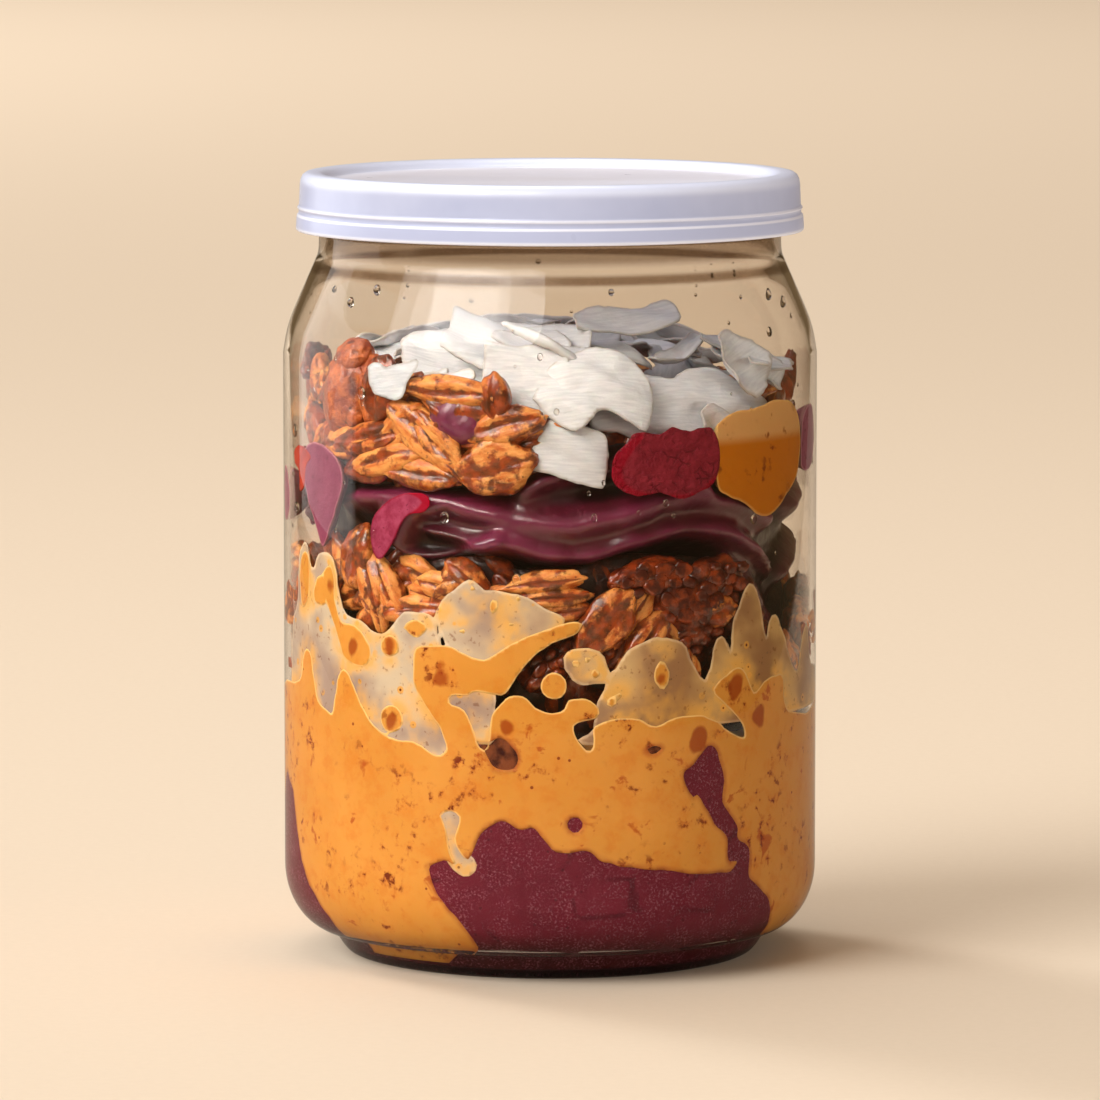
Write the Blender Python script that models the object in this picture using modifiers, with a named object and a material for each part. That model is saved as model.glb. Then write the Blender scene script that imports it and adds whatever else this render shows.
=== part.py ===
"""A shut clear jar of acai, layered with orange cream, granola and coconut chips.

Lengths are millimetres and angles degrees until a mesh is made, which is in metres.
The origin is the centre of the base, +Z is up, and angle 0 faces the front (-Y),
with angles growing towards +X. Each body round the jar is a loft of rings.
"""
import math
import random

import bmesh
import bpy
from mathutils import Matrix, Vector, noise
from mathutils.bvhtree import BVHTree

# Jar: a turned shell with an open mouth under the lid.
BODY_RADIUS = 40.0
WALL = 0.95
FLATS = 36                 # flats round the jar and the lid
HEEL_HEIGHT = 9.8          # the heel is part of an ellipse this tall ...
HEEL_WIDTH = 7.3           # ... and this wide
HEEL_TOP = 13.3
HEEL_SWEEP = 68.0
HEEL_PARTS = 4
RIM_TOP = 114.5

# Lid: a push-on cap of one piece.
LID_BOTTOM = 108.6
LID_TOP = 117.3
LID_RADIUS = 38.0

# Contents.
GAP = 0.35                 # clearance between touching pieces
REACH = BODY_RADIUS - WALL - GAP
FINE_STEP = 7.2            # degrees between the points of a ring, base and cream
STEP = 7.5                 # the same on the other layers
CREAM_SKIN = 0.962         # inside this share of the radius the cream is level
CREAM_LEVEL = 36.6
SWIRL_FLOOR = 58.5
SWIRL_CROWN = 72.5
HEAP_CROWN = 87.5


# ------------------------------------------------------------------ helpers

def polar(angle, radius, height):
    turn = math.radians(angle)
    return Vector((radius * math.sin(turn), -radius * math.cos(turn), height))


def smooth(low, high, value):
    share = min(max((value - low) / (high - low), 0.0), 1.0)
    return share * share * (3.0 - 2.0 * share)


def around(*knots):
    """Function of the angle that eases through (angle, value) knots and closes on itself."""
    knots = sorted(knots)
    closed = knots + [(knots[0][0] + 360.0, knots[0][1])]

    def value(angle):
        angle = knots[0][0] + (angle - knots[0][0]) % 360.0
        for (start, first), (end, last) in zip(closed, closed[1:]):
            if angle <= end:
                return first + (last - first) * smooth(start, end, angle)
        return closed[-1][1]
    return value


def make_material(name, colour, roughness, alpha=1.0):
    material = bpy.data.materials.new(name)
    material.use_nodes = True
    shader = material.node_tree.nodes["Principled BSDF"]
    shader.inputs["Base Color"].default_value = (*colour, 1.0)
    shader.inputs["Roughness"].default_value = roughness
    shader.inputs["Metallic"].default_value = 0.0
    shader.inputs["Alpha"].default_value = alpha
    material.diffuse_color = (*colour, alpha)
    return material


def add_object(name, mesh, material, place=None):
    piece = bpy.data.objects.new(name, mesh)
    mesh.materials.clear()
    mesh.materials.append(material)
    jar_of_acai.objects.link(piece)
    if place is not None:
        piece.matrix_world = place
    return piece


def finish_mesh(name, bm, edge_angle=40.0):
    """Scale a bmesh from millimetres to metres, face it outwards and shade it smooth."""
    bmesh.ops.scale(bm, vec=(0.001, 0.001, 0.001), verts=bm.verts)
    bmesh.ops.recalc_face_normals(bm, faces=bm.faces)
    mesh = bpy.data.meshes.new(name)
    bm.to_mesh(mesh)
    bm.free()
    mesh.shade_smooth()
    mesh.set_sharp_from_angle(angle=math.radians(edge_angle))
    return mesh


def loft(bm, rings, start, end, mirrored_from=None):
    """Close a stack of point rings with a fan at each end, as triangles.

    From ring mirrored_from on, the diagonals turn over, so that a thin body has
    both faces split alike.
    """
    rows = [[bm.verts.new(point) for point in ring] for ring in rings]
    count = len(rows[0])
    first = bm.verts.new(start)
    last = bm.verts.new(end)
    for index in range(count):
        after = (index + 1) % count
        bm.faces.new((first, rows[0][after], rows[0][index]))
        bm.faces.new((last, rows[-1][index], rows[-1][after]))
        for level, (low, high) in enumerate(zip(rows, rows[1:])):
            if mirrored_from is not None and level >= mirrored_from:
                bm.faces.new((low[index], low[after], high[index]))
                bm.faces.new((low[after], high[after], high[index]))
            else:
                bm.faces.new((low[index], low[after], high[after]))
                bm.faces.new((low[index], high[after], high[index]))
    return bm


def turned(name, outline, material):
    """Body turned from an outline of (radius, height) that runs down its outer side."""
    mesh = bpy.data.meshes.new(name)
    points = [(radius * 0.001, 0.0, height * 0.001) for radius, height in outline]
    closed = outline[0][0] > 0.0
    edges = [(index, index + 1) for index in range(len(points) - 1)]
    if closed:
        edges.append((len(points) - 1, 0))
    mesh.from_pydata(points, edges, [])
    piece = add_object(name, mesh, material)
    screw = piece.modifiers.new("turn", "SCREW")
    screw.axis = "Z"
    screw.steps = FLATS
    screw.render_steps = FLATS
    screw.use_merge_vertices = True
    screw.merge_threshold = 0.00002
    screw.use_smooth_shade = True
    return piece


# -------------------------------------------------------------------- glass

def jar_outside():
    """Outer profile of the jar, from the neck down to the base's centre."""
    shoulder = [(34.6, 106.6), (34.75, 105.2), (35.3, 103.8), (38.3, 96.9), (39.4, 93.7),
                (BODY_RADIUS, 90.4)]
    heel = []
    for part in range(HEEL_PARTS + 1):
        turn = math.radians(HEEL_SWEEP * part / HEEL_PARTS)
        heel.append((BODY_RADIUS - HEEL_WIDTH * (1.0 - math.cos(turn)),
                     HEEL_TOP - HEEL_HEIGHT * math.sin(turn)))
    foot = [(32.8, 3.6), (31.6, 1.5), (29.5, 0.0), (26.0, 0.0), (24.5, 0.9), (0.0, 0.9)]
    return shoulder + heel + foot


def offset_inwards(outline, distance):
    """Profile moved square to itself, towards the jar's inside."""
    moved = []
    for index, (radius, height) in enumerate(outline):
        before = Vector(outline[max(index - 1, 0)])
        after = Vector(outline[min(index + 1, len(outline) - 1)])
        along = (after - before).normalized()
        inner = radius + along.y * distance
        moved.append((max(inner, 0.0), height - along.x * distance))
    moved[-1] = (0.0, moved[-2][1])
    return moved


OUTSIDE = jar_outside()
INSIDE = offset_inwards(OUTSIDE, WALL)
NECK_INSIDE = INSIDE[0][0]
FLOOR = INSIDE[-1][1]
HEEL_LEVELS = sorted(height for radius, height in INSIDE if 4.0 < height < 10.0)


def inner_radius(height):
    """Radius of the jar's inner face at a height."""
    for (upper_r, upper_z), (lower_r, lower_z) in zip(INSIDE, INSIDE[1:]):
        if lower_z <= height <= upper_z and upper_z > lower_z:
            share = (height - lower_z) / (upper_z - lower_z)
            return lower_r + share * (upper_r - lower_r)
    return INSIDE[-3][0] if height < FLOOR + 1.0 else NECK_INSIDE


def room(height):
    """Radius that the contents may reach at a height."""
    return inner_radius(height) - GAP


def build_jar(material):
    """Thin shell with a bead round its neck, which the lid is pushed over."""
    rim = [(NECK_INSIDE, RIM_TOP - 0.3), (34.3, RIM_TOP)]
    bead = [(34.7, 112.4), (35.6, 111.4), (35.6, 110.2), (34.7, 109.2)]
    return turned("jar", list(reversed(INSIDE)) + rim + bead + OUTSIDE, material)


def build_lid(material):
    """Cap with a raised rim round a sunken panel, and a ridge and a band on its skirt."""
    under = RIM_TOP + 0.3
    outline = [(0.0, under), (35.2, under), (36.1, 113.6), (36.7, 110.4), (37.0, LID_BOTTOM)]
    bottom = [(LID_RADIUS - 0.2, LID_BOTTOM), (LID_RADIUS, LID_BOTTOM + 0.3)]
    skirt = [(37.95, 110.6), (37.55, 110.9), (37.45, 112.8), (37.7, 113.1), (37.35, 113.4)]
    rim = [(37.2, 116.2), (36.7, 117.0), (35.9, LID_TOP), (34.2, LID_TOP - 0.1),
           (33.2, 116.6), (32.6, 116.1), (0.0, 116.0)]
    return turned("lid", list(reversed(outline + bottom + skirt + rim)), material)


# ------------------------------------------------------------------- layers

# Height of each boundary at the glass, round the jar.
ACAI_BASE_WALL = around(
    (-165, 8), (-140, 15), (-115, 7), (-98, 19), (-82, 27), (-75, 24), (-67, 15), (-60, 9),
    (-54, 5.6), (-30, 5.6), (-24, 13), (-19, 18), (-10, 23.5), (0, 20.5), (12, 18.5),
    (30, 16.5), (42, 16.5), (49, 13), (57, 8), (64, 5.8), (85, 5.6), (110, 10),
    (135, 19), (160, 12))
CREAM_WALL = around(
    (-170, 42), (-155, 48), (-140, 39), (-125, 45), (-110, 38), (-95, 40), (-84, 41),
    (-75, 42), (-66, 46.5), (-57, 38.5), (-50, 45), (-44, 39), (-35, 36), (-25, 35),
    (-15, 35), (-10, 42.5), (-4, 43), (0, 41), (5, 42.5), (9.5, 36.5), (15, 39.5),
    (30, 39.6), (36, 38.5), (44, 46), (49, 42), (57, 44), (63, 39), (75, 36.5), (90, 40),
    (105, 46), (120, 38), (135, 43), (150, 37), (165, 47))
SWIRL_UNDER = around(
    (-160, 59), (-120, 61), (-90, 62), (-66, 63.5), (-50, 65.5), (-41, 64), (-33, 61.5),
    (-20, 63.2), (-8, 62.4), (5, 62.8), (20, 64.5), (36, 63.6), (45, 60.5), (53, 56),
    (60, 51), (70, 47.5), (80, 52), (95, 58), (125, 57), (150, 60))
SWIRL_OVER = around(
    (-160, 72), (-120, 75), (-90, 72), (-66, 73), (-48, 72.4), (-30, 72), (-14, 72),
    (0, 73.6), (12, 71.4), (38, 70.8), (41, 67), (70, 66.8), (84, 71), (110, 75),
    (145, 71))
HEAP_OVER = around(
    (-160, 83), (-110, 85), (-70, 86), (-50, 86), (-22, 86.5), (-8, 80.5), (8, 78.5),
    (20, 80.5), (60, 80.5), (90, 84), (140, 82))


def lumps(angle, share, scale, seed):
    """Slow unevenness of a layer's surface, up to about one millimetre."""
    spot = polar(angle, share * 3.2, seed * 7.3)
    return scale * noise.noise(spot)


def acai_base_over(angle, share):
    middle = 15.0 + lumps(angle, share, 3.0, 1)
    return middle + (ACAI_BASE_WALL(angle) - middle) * smooth(0.55, 0.99, share)


def cream_over(angle, share):
    rise = CREAM_WALL(angle) - CREAM_LEVEL
    return CREAM_LEVEL + rise * smooth(CREAM_SKIN - 0.004, CREAM_SKIN, share)


def swirl_under(angle, share):
    return SWIRL_FLOOR + (SWIRL_UNDER(angle) - SWIRL_FLOOR) * share


def swirl_over(angle, share):
    return SWIRL_CROWN + (SWIRL_OVER(angle) - SWIRL_CROWN) * share


def heap_over(angle, share):
    middle = HEAP_CROWN + lumps(angle, share, 2.5, 5)
    return middle + (HEAP_OVER(angle) - middle) * smooth(0.35, 0.98, share)


def layer(under, over, shares_under, shares_over, levels, inset, step=STEP, lift=0.0):
    """Body between two uneven surfaces that follows the jar's inside.

    shares are the radii of its rings below and above, levels the shares of its height
    or, above 1, the heights in millimetres of the rings up its side, and inset(angle,
    share of height) how far that side stays off the jar. lift raises the underside
    clear of a layer whose top is the same surface.
    """
    angles = [step * index for index in range(round(360 / step))]

    def edge(angle, height, rise):
        return polar(angle, room(height) - inset(angle, rise), height)

    def flat_ring(surface, share, rise, lift):
        ring = []
        for angle in angles:
            off = inset(angle, rise)
            height = surface(angle, share * (1.0 - off / REACH))
            ring.append(polar(angle, share * (room(height) - off), height + lift))
        return ring

    def side_ring(order, level):
        ring = []
        for angle in angles:
            low = under(angle, 1.0 - inset(angle, 0.0) / REACH) + lift
            high = over(angle, 1.0 - inset(angle, 1.0) / REACH)
            height = level if level > 1.0 else low + level * (high - low)
            height = max(height, low + 0.12 * (order + 1))
            height = min(height, high - 0.12 * (len(levels) - order))
            ring.append(edge(angle, height, (height - low) / (high - low)))
        return ring

    rings = [flat_ring(under, share, 0.0, lift) for share in shares_under]
    rings += [side_ring(order, level) for order, level in enumerate(levels)]
    rings += [flat_ring(over, share, 1.0, 0.0) for share in reversed(shares_over)]
    roof = len(shares_under) + len(levels)
    return loft(bmesh.new(), rings, (0, 0, under(0, 0) + lift), (0, 0, over(0, 0)), roof)


BASE_SHARES = (0.5, 0.8, 0.93, 1.0)


def touching(angle, rise):
    return 0.0


def build_acai_base(material):
    def floor_height(angle, share):
        return FLOOR + GAP if share < 0.99 else FLOOR + GAP + 0.6

    bm = layer(floor_height, acai_base_over, (0.9, 1.0), BASE_SHARES,
               [*HEEL_LEVELS, HEEL_TOP], touching, FINE_STEP)
    return add_object("acai_base", finish_mesh("acai_base", bm), material)


def build_cream(material, streak):
    """Cream with tongues that run up the glass, and a pocket for the acai streak."""
    bm = layer(acai_base_over, cream_over, BASE_SHARES,
               (0.6, CREAM_SKIN - 0.004, CREAM_SKIN, 1.0),
               [*HEEL_LEVELS[2:], HEEL_TOP, 30.0], touching, FINE_STEP, 0.5)
    cream = add_object("cream", finish_mesh("cream", bm), material)
    pocket = cream.modifiers.new("pocket", "BOOLEAN")
    pocket.operation = "DIFFERENCE"
    pocket.object = streak
    return cream


def swirl_inset(angle, rise):
    """Two rolled folds with a crease between, drawn in behind the drops on the glass."""
    crease = 2.2 * math.exp(-((rise - 0.42) / 0.11) ** 2)
    ends = 2.6 * (abs(2.0 * rise - 1.0) ** 4)
    left_drop = 6.2 * smooth(-76, -70, angle) * (1.0 - smooth(-52, -46, angle))
    far_left = 3.6 * smooth(-92, -86, angle) * (1.0 - smooth(-76, -70, angle))
    return 0.4 + crease + ends + left_drop + far_left


def signed(function):
    """Give an inset function angles from -180 to 180."""
    return lambda angle, rise: function((angle + 180.0) % 360.0 - 180.0, rise)


def build_swirl(material):
    bm = layer(swirl_under, swirl_over, (0.6, 1.0), (0.6, 1.0),
               (0.14, 0.28, 0.42, 0.56, 0.72, 0.88), signed(swirl_inset))
    return add_object("acai_swirl", finish_mesh("acai_swirl", bm, 60.0), material)


# --------------------------------------------------- pieces against the glass

DROP_SIDES = 14


def drop_rings(centre, half_width, half_height, depth, wobble, grow=0.0):
    """Rings of a rounded drop that lies flat on the glass and swells inwards.

    centre is (angle, height); wobble is (size, phase) of an uneven outline.
    """
    rings = []
    profile = ((0.9, 0.0), (1.0, 0.22), (0.92, 0.6), (0.55, 0.95))
    for share, sink in profile:
        ring = []
        for index in range(DROP_SIDES):
            turn = math.tau * index / DROP_SIDES
            reach = share * (1.0 + wobble[0] * math.sin(3.0 * turn + wobble[1]))
            arc = (half_width + grow) * reach * math.cos(turn)
            height = centre[1] + (half_height + grow) * reach * math.sin(turn)
            radius = room(height) - sink * (depth + grow) + (1.0 - sink) * grow
            ring.append(polar(centre[0] + math.degrees(arc / radius), radius, height))
        rings.append(ring)
    start = polar(centre[0], room(centre[1]) + grow, centre[1])
    end = polar(centre[0], room(centre[1]) - depth - grow, centre[1])
    return rings, start, end


def build_drop(name, material, *shape):
    bm = loft(bmesh.new(), *drop_rings(*shape))
    return add_object(name, finish_mesh(name, bm, 60.0), material)


def eased(path):
    """Path with a point added halfway along each stretch, on a smooth curve."""
    ends = [path[0], *path, path[-1]]
    points = []
    for before, start, end, after in zip(ends, ends[1:], ends[2:], ends[3:]):
        points.append(start)
        points.append(tuple((9.0 * (b + c) - a - d) / 16.0
                            for a, b, c, d in zip(before, start, end, after)))
    return [*points, path[-1]]


def tongue_rings(path, thickness, grow=0.0):
    """Rings of a tongue of sauce laid along the glass.

    path is (angle, height, half width) down its middle.
    """
    path = eased(path)
    rings = []
    for index, (angle, height, half_width) in enumerate(path):
        before = path[max(index - 1, 0)]
        after = path[min(index + 1, len(path) - 1)]
        radius = room(height)
        along = Vector((math.radians(after[0] - before[0]) * radius, after[1] - before[1]))
        across = Vector((-along.y, along.x)).normalized()
        ring = []
        for turn in (0, 45, 90, 135, 180, 270):
            side = math.cos(math.radians(turn)) * (half_width + grow)
            sink = thickness * (1.0 if turn == 270 else 0.45 - 0.45 * (turn in (45, 90, 135)))
            reach = radius - sink
            if turn == 270:
                reach -= grow
            elif turn in (45, 90, 135):
                reach += 3.0 * grow
            place = angle + math.degrees(across.x * side / radius)
            ring.append(polar(place, reach, height + across.y * side))
        rings.append(ring)
    start = polar(path[0][0], room(path[0][1]) - thickness * 0.4, path[0][1])
    end = polar(path[-1][0], room(path[-1][1]) - thickness * 0.4, path[-1][1])
    return rings, start, end


STREAK_PATH = ((33.0, 33.6, 1.0), (35.5, 31.5, 3.2), (39.5, 27.5, 2.2), (43.5, 22.5, 1.2),
               (45.0, 19.0, 0.5))
HOOK_PATH = ((-18.0, 36.8, 1.6), (-22.5, 41.0, 2.6), (-24.5, 46.0, 3.4), (-16.0, 46.4, 2.4),
             (-9.0, 47.4, 2.6), (0.0, 51.2, 1.3), (5.5, 53.0, 0.5))
LEFT_STREAK_PATH = ((-54.5, 58.3, 0.8), (-52.5, 55.0, 2.2), (-48.5, 50.5, 2.8),
                    (-45.0, 46.4, 0.9))


def build_tongue(name, material, path, thickness):
    bm = loft(bmesh.new(), *tongue_rings(path, thickness))
    return add_object(name, finish_mesh(name, bm, 60.0), material)


def build_streak_cutter():
    bm = loft(bmesh.new(), *tongue_rings(STREAK_PATH, 3.0, 0.35))
    cutter = bpy.data.objects.new("streak_cutter", finish_mesh("streak_cutter", bm))
    cutter.hide_render = True
    cutter.display_type = "WIRE"
    cutters.objects.link(cutter)
    return cutter


# -------------------------------------------------------------------- heaps

def clear_of(tree, others):
    return not any(tree.overlap(other) for other in others)


def settled(bm, held, neighbours):
    """True where a piece touches what holds it, and nothing else, inside the jar."""
    tree = tree_of(bm.copy())
    return inside_jar(bm) and clear_of(tree, neighbours) and not clear_of(tree, held)


def tree_of(bm):
    bmesh.ops.triangulate(bm, faces=bm.faces)
    return BVHTree.FromBMesh(bm)


def inside_jar(bm, margin=0.0):
    return all(math.hypot(vert.co.x, vert.co.y) < room(vert.co.z) - margin for vert in bm.verts)


def oat(size, place, seed):
    """Rolled oat or nut half: a flattened grain of few sides, size (long, wide, thick)."""
    bm = bmesh.new()
    bmesh.ops.create_uvsphere(bm, u_segments=6, v_segments=4, radius=0.5)
    bmesh.ops.rotate(bm, matrix=Matrix.Rotation(seed * 0.7, 3, "Z"), verts=bm.verts)
    bmesh.ops.scale(bm, vec=size, verts=bm.verts)
    bmesh.ops.transform(bm, matrix=place, verts=bm.verts)
    return bm


def nugget(size, place, seed, sides=6):
    """Baked cluster: a rough lump, size (long, wide, thick)."""
    bm = bmesh.new()
    bmesh.ops.create_uvsphere(bm, u_segments=sides, v_segments=sides - 1, radius=0.5)
    for vert in bm.verts:
        swell = noise.noise(vert.co * 4.0 + Vector((seed * 3.1, 0.0, 0.0)))
        vert.co *= 1.0 + 0.32 * swell
    bmesh.ops.scale(bm, vec=size, verts=bm.verts)
    bmesh.ops.transform(bm, matrix=place, verts=bm.verts)
    return bm


def against_glass(angle, height, depth, spin, lean):
    """Place a grain depth inside the glass: long side level, then spun and leant."""
    outward = math.radians(angle)
    turn = Matrix.Rotation(outward, 4, "Z") @ Matrix.Rotation(math.radians(90 - lean), 4, "X")
    turn = turn @ Matrix.Rotation(math.radians(spin), 4, "Z")
    return Matrix.Translation(polar(angle, room(height) - depth, height)) @ turn


def fused_heap(name, material, core, pieces, neighbours):
    """One body of a core and its pieces, each clear of the neighbours or left out."""
    parts = bpy.data.collections.new(name + "_pieces")
    bpy.context.scene.collection.children.link(parts)
    held = [tree_of(core.copy())]
    for number, (maker, angle, height, depth, spin, lean, size) in enumerate(pieces):
        for shift in range(8):
            place = against_glass(angle, height, depth + 0.4 * shift, spin, lean)
            bm = maker(size, place, number)
            if settled(bm, held, neighbours):
                held.append(tree_of(bm.copy()))
                mesh = finish_mesh(f"{name}_{number}", bm)
                parts.objects.link(bpy.data.objects.new(mesh.name, mesh))
                break
            bm.free()
    heap = add_object(name, finish_mesh(name, core), material)
    union = heap.modifiers.new("fuse", "BOOLEAN")
    union.operation = "UNION"
    union.operand_type = "COLLECTION"
    union.collection = parts
    graph = bpy.context.evaluated_depsgraph_get()
    joined = bpy.data.meshes.new_from_object(heap.evaluated_get(graph))
    heap.modifiers.clear()
    heap.data = joined
    for piece in list(parts.objects):
        bpy.data.objects.remove(piece)
    bpy.data.collections.remove(parts)
    bm = bmesh.new()
    bm.from_mesh(joined)
    bmesh.ops.triangulate(bm, faces=bm.faces)
    keep_largest(bm)
    bm.to_mesh(joined)
    bm.free()
    joined.shade_smooth()
    joined.set_sharp_from_angle(angle=math.radians(35))
    return heap


def keep_largest(bm):
    """Drop the scraps that did not join the heap."""
    left = set(bm.verts)
    islands = []
    while left:
        stack = [left.pop()]
        island = set(stack)
        while stack:
            for edge in stack.pop().link_edges:
                for vert in edge.verts:
                    if vert in left:
                        left.remove(vert)
                        island.add(vert)
                        stack.append(vert)
        islands.append(island)
    islands.sort(key=len)
    for island in islands[:-1]:
        bmesh.ops.delete(bm, geom=list(island), context="VERTS")


def world_tree(piece):
    """Search tree of a finished piece, back in millimetres."""
    graph = bpy.context.evaluated_depsgraph_get()
    bm = bmesh.new()
    bm.from_object(piece, graph)
    bmesh.ops.transform(bm, matrix=piece.matrix_world, verts=bm.verts)
    bmesh.ops.scale(bm, vec=(1000, 1000, 1000), verts=bm.verts)
    tree = tree_of(bm)
    bm.free()
    return tree


# Granola that shows between the cream and the swirl:
# (kind, angle, height, depth, spin, lean, size)
MIDDLE_FRONT = (
    (oat, -56, 61, 2.4, 100, 0, (9, 5, 3)),
    (oat, -48.5, 61.6, 2.4, 55, 0, (10, 5.5, 3)),
    (oat, -43.5, 59.4, 2.2, 118, 10, (11, 5, 3)),
    (oat, -39, 56.6, 2.6, 125, 0, (9, 4.5, 3)),
    (oat, -50, 56.6, 3.0, 20, 0, (8, 5, 3)),
    (nugget, -44, 53, 3.4, 40, 0, (8, 6, 5)),
    (oat, -32, 55.2, 2.4, 5, 15, (10, 5, 2.6)),
    (nugget, -25, 57.2, 3.4, 10, 0, (8, 6, 5)),
    (nugget, -20, 59.4, 3.4, 30, 0, (8, 5, 5)),
    (oat, -12, 57, 3.2, 20, 0, (10, 5, 3)),
    (oat, -2, 58.6, 3.0, 15, 5, (11, 4.5, 3)),
    (oat, 1, 55.4, 2.8, 8, 0, (10, 4.5, 3)),
    (oat, 11, 54, 1.9, 48, 0, (13, 4.4, 3.2)),
    (oat, 14.5, 53.4, 2.0, 52, 0, (13, 4.6, 3.2)),
    (oat, 19.5, 52, 2.3, 40, 0, (11, 5, 3.2)),
    (oat, 22.5, 50, 2.6, 35, 0, (10, 5, 3.2)),
    (nugget, 18, 59.8, 3.4, 8, 0, (12, 5.5, 5)),
    (nugget, 28, 58.6, 3.4, 160, 0, (14, 7, 6)),
    (nugget, 37.5, 57, 3.4, 10, 0, (10, 7, 5.5)),
    (nugget, 45, 52.4, 3.8, 100, 0, (9, 6, 5)),
    (oat, 39.5, 53, 2.2, 10, 0, (6.5, 5, 3)),
    (nugget, 8, 48.5, 3.6, 0, 0, (8, 5, 4)),
)

# Granola on top of the swirl, at the left.
TOP_FRONT = (
    (oat, -52, 78.8, 2.6, 8, 10, (11, 4.5, 2.8)),
    (oat, -45, 79.6, 2.4, 10, 20, (13, 5, 3)),
    (oat, -39, 77, 2.0, 12, 10, (12, 4.5, 2.8)),
    (oat, -31, 75.2, 2.0, 172, 10, (13, 4.4, 2.6)),
    (oat, -29, 80.8, 2.4, 145, 5, (14, 6.4, 3.4)),
    (oat, -24.5, 79.5, 2.0, 130, 0, (12, 5, 3)),
    (oat, -12, 76.3, 1.9, 12, 0, (12, 8, 3.4)),
    (oat, -10, 82, 2.6, 15, 10, (10.5, 6, 3)),
    (oat, -22, 87.2, 2.6, 176, 0, (15, 4.6, 3.4)),
    (nugget, -18, 84.6, 3.6, 0, 0, (8, 6, 5)),
    (oat, -12.2, 86.8, 2.0, 95, 0, (6.5, 4, 3.4)),
    (oat, -42, 87, 3.4, 80, 0, (9, 6.5, 4)),
    (oat, -34, 82, 3.6, 30, 0, (9, 5, 3)),
)


def scattered(low, high, count, seed, dark_share):
    """Granola round the sides and back, where none is placed by hand."""
    draw = random.Random(seed)
    pieces = []
    for number in range(count):
        angle = 78 + 208.0 * (number + 0.5) / count + draw.uniform(-3, 3)
        height = draw.uniform(low, high)
        long = draw.uniform(9, 13)
        if draw.random() < dark_share:
            pieces.append((nugget, angle, height, 3.4, draw.uniform(-30, 30), 0, (long, 7, 5.5)))
        else:
            size = (long, draw.uniform(4.5, 6.5), 3.0)
            pieces.append((oat, angle, height, 2.3, draw.uniform(-70, 70), 0, size))
    return tuple(pieces)


def build_middle_heap(material, neighbours):
    def under(angle, share):
        return CREAM_LEVEL + 0.5

    def over(angle, share):
        return swirl_under(angle, share) - 0.6

    core = layer(under, over, (0.6, 1.0), (0.6, 1.0), (0.5,), lambda angle, rise: 3.6)
    pieces = MIDDLE_FRONT + scattered(47, 55, 9, 11, 0.35)
    return fused_heap("granola_middle", material, core, pieces, neighbours)


def heap_inset(angle, rise):
    """The top heap falls back from the glass behind the drops at its right and left."""
    right = 6.4 * smooth(4, 11, angle) * (1.0 - smooth(74, 84, angle))
    left = 7.2 * smooth(-78, -68, angle) * (1.0 - smooth(-45, -38, angle))
    return 2.8 + right + left + 2.0 * rise


def build_top_heap(material, neighbours):
    core = layer(swirl_over, heap_over, (0.6, 1.0), (0.6, 1.0), (0.5,), signed(heap_inset),
                 STEP, 0.6)
    pieces = TOP_FRONT + scattered(77, 82, 7, 23, 0.3)
    return fused_heap("granola_top", material, core, pieces, neighbours)


def build_nut_cluster(material):
    bm = nugget((12.5, 13.6, 8.5), against_glass(-54, 86.4, 4.9, 10, 0), 7, 12)
    return add_object("nut_cluster", finish_mesh("nut_cluster", bm, 60.0), material)


# ------------------------------------------------------------ coconut chips

CHIP_SIDES = 10
CHIP_LIFT = 8.0            # a chip rises at most this far above its place to be clear ...
CHIP_DROP = 5.0            # ... and sinks at most this far below it to rest
CHIP_STEP = 0.25


def chip(length, width, curl, point, place):
    """Thin curled shaving of coconut, blunt or pointed at its ends, as a closed solid."""
    bm = bmesh.new()

    def surface(across, along, lift):
        reach = abs(along / (0.5 * length)) ** 2
        narrow = 1.0 - point * reach
        wave = 0.35 * math.sin(9.0 * along / length + across)
        height = curl * (reach - 0.4) + 0.9 * curl * (2.0 * across / width) ** 2 * 0.4
        return place @ Vector((along, across * narrow, height + wave + lift))

    def ring(share, lift):
        points = []
        for index in range(CHIP_SIDES):
            turn = math.tau * (index + 0.5) / CHIP_SIDES
            square = 1.0 / max(abs(math.cos(turn)), abs(math.sin(turn))) ** 0.5
            along = 0.45 * length * share * math.cos(turn) * square
            across = 0.45 * width * share * math.sin(turn) * square
            points.append(surface(across, along, lift))
        return points

    rings = [ring(0.5, 0.45), ring(1.0, 0.3), ring(1.0, -0.3), ring(0.5, -0.45)]
    loft(bm, rings, surface(0, 0, 0.45), surface(0, 0, -0.45), mirrored_from=2)
    return bm


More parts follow.
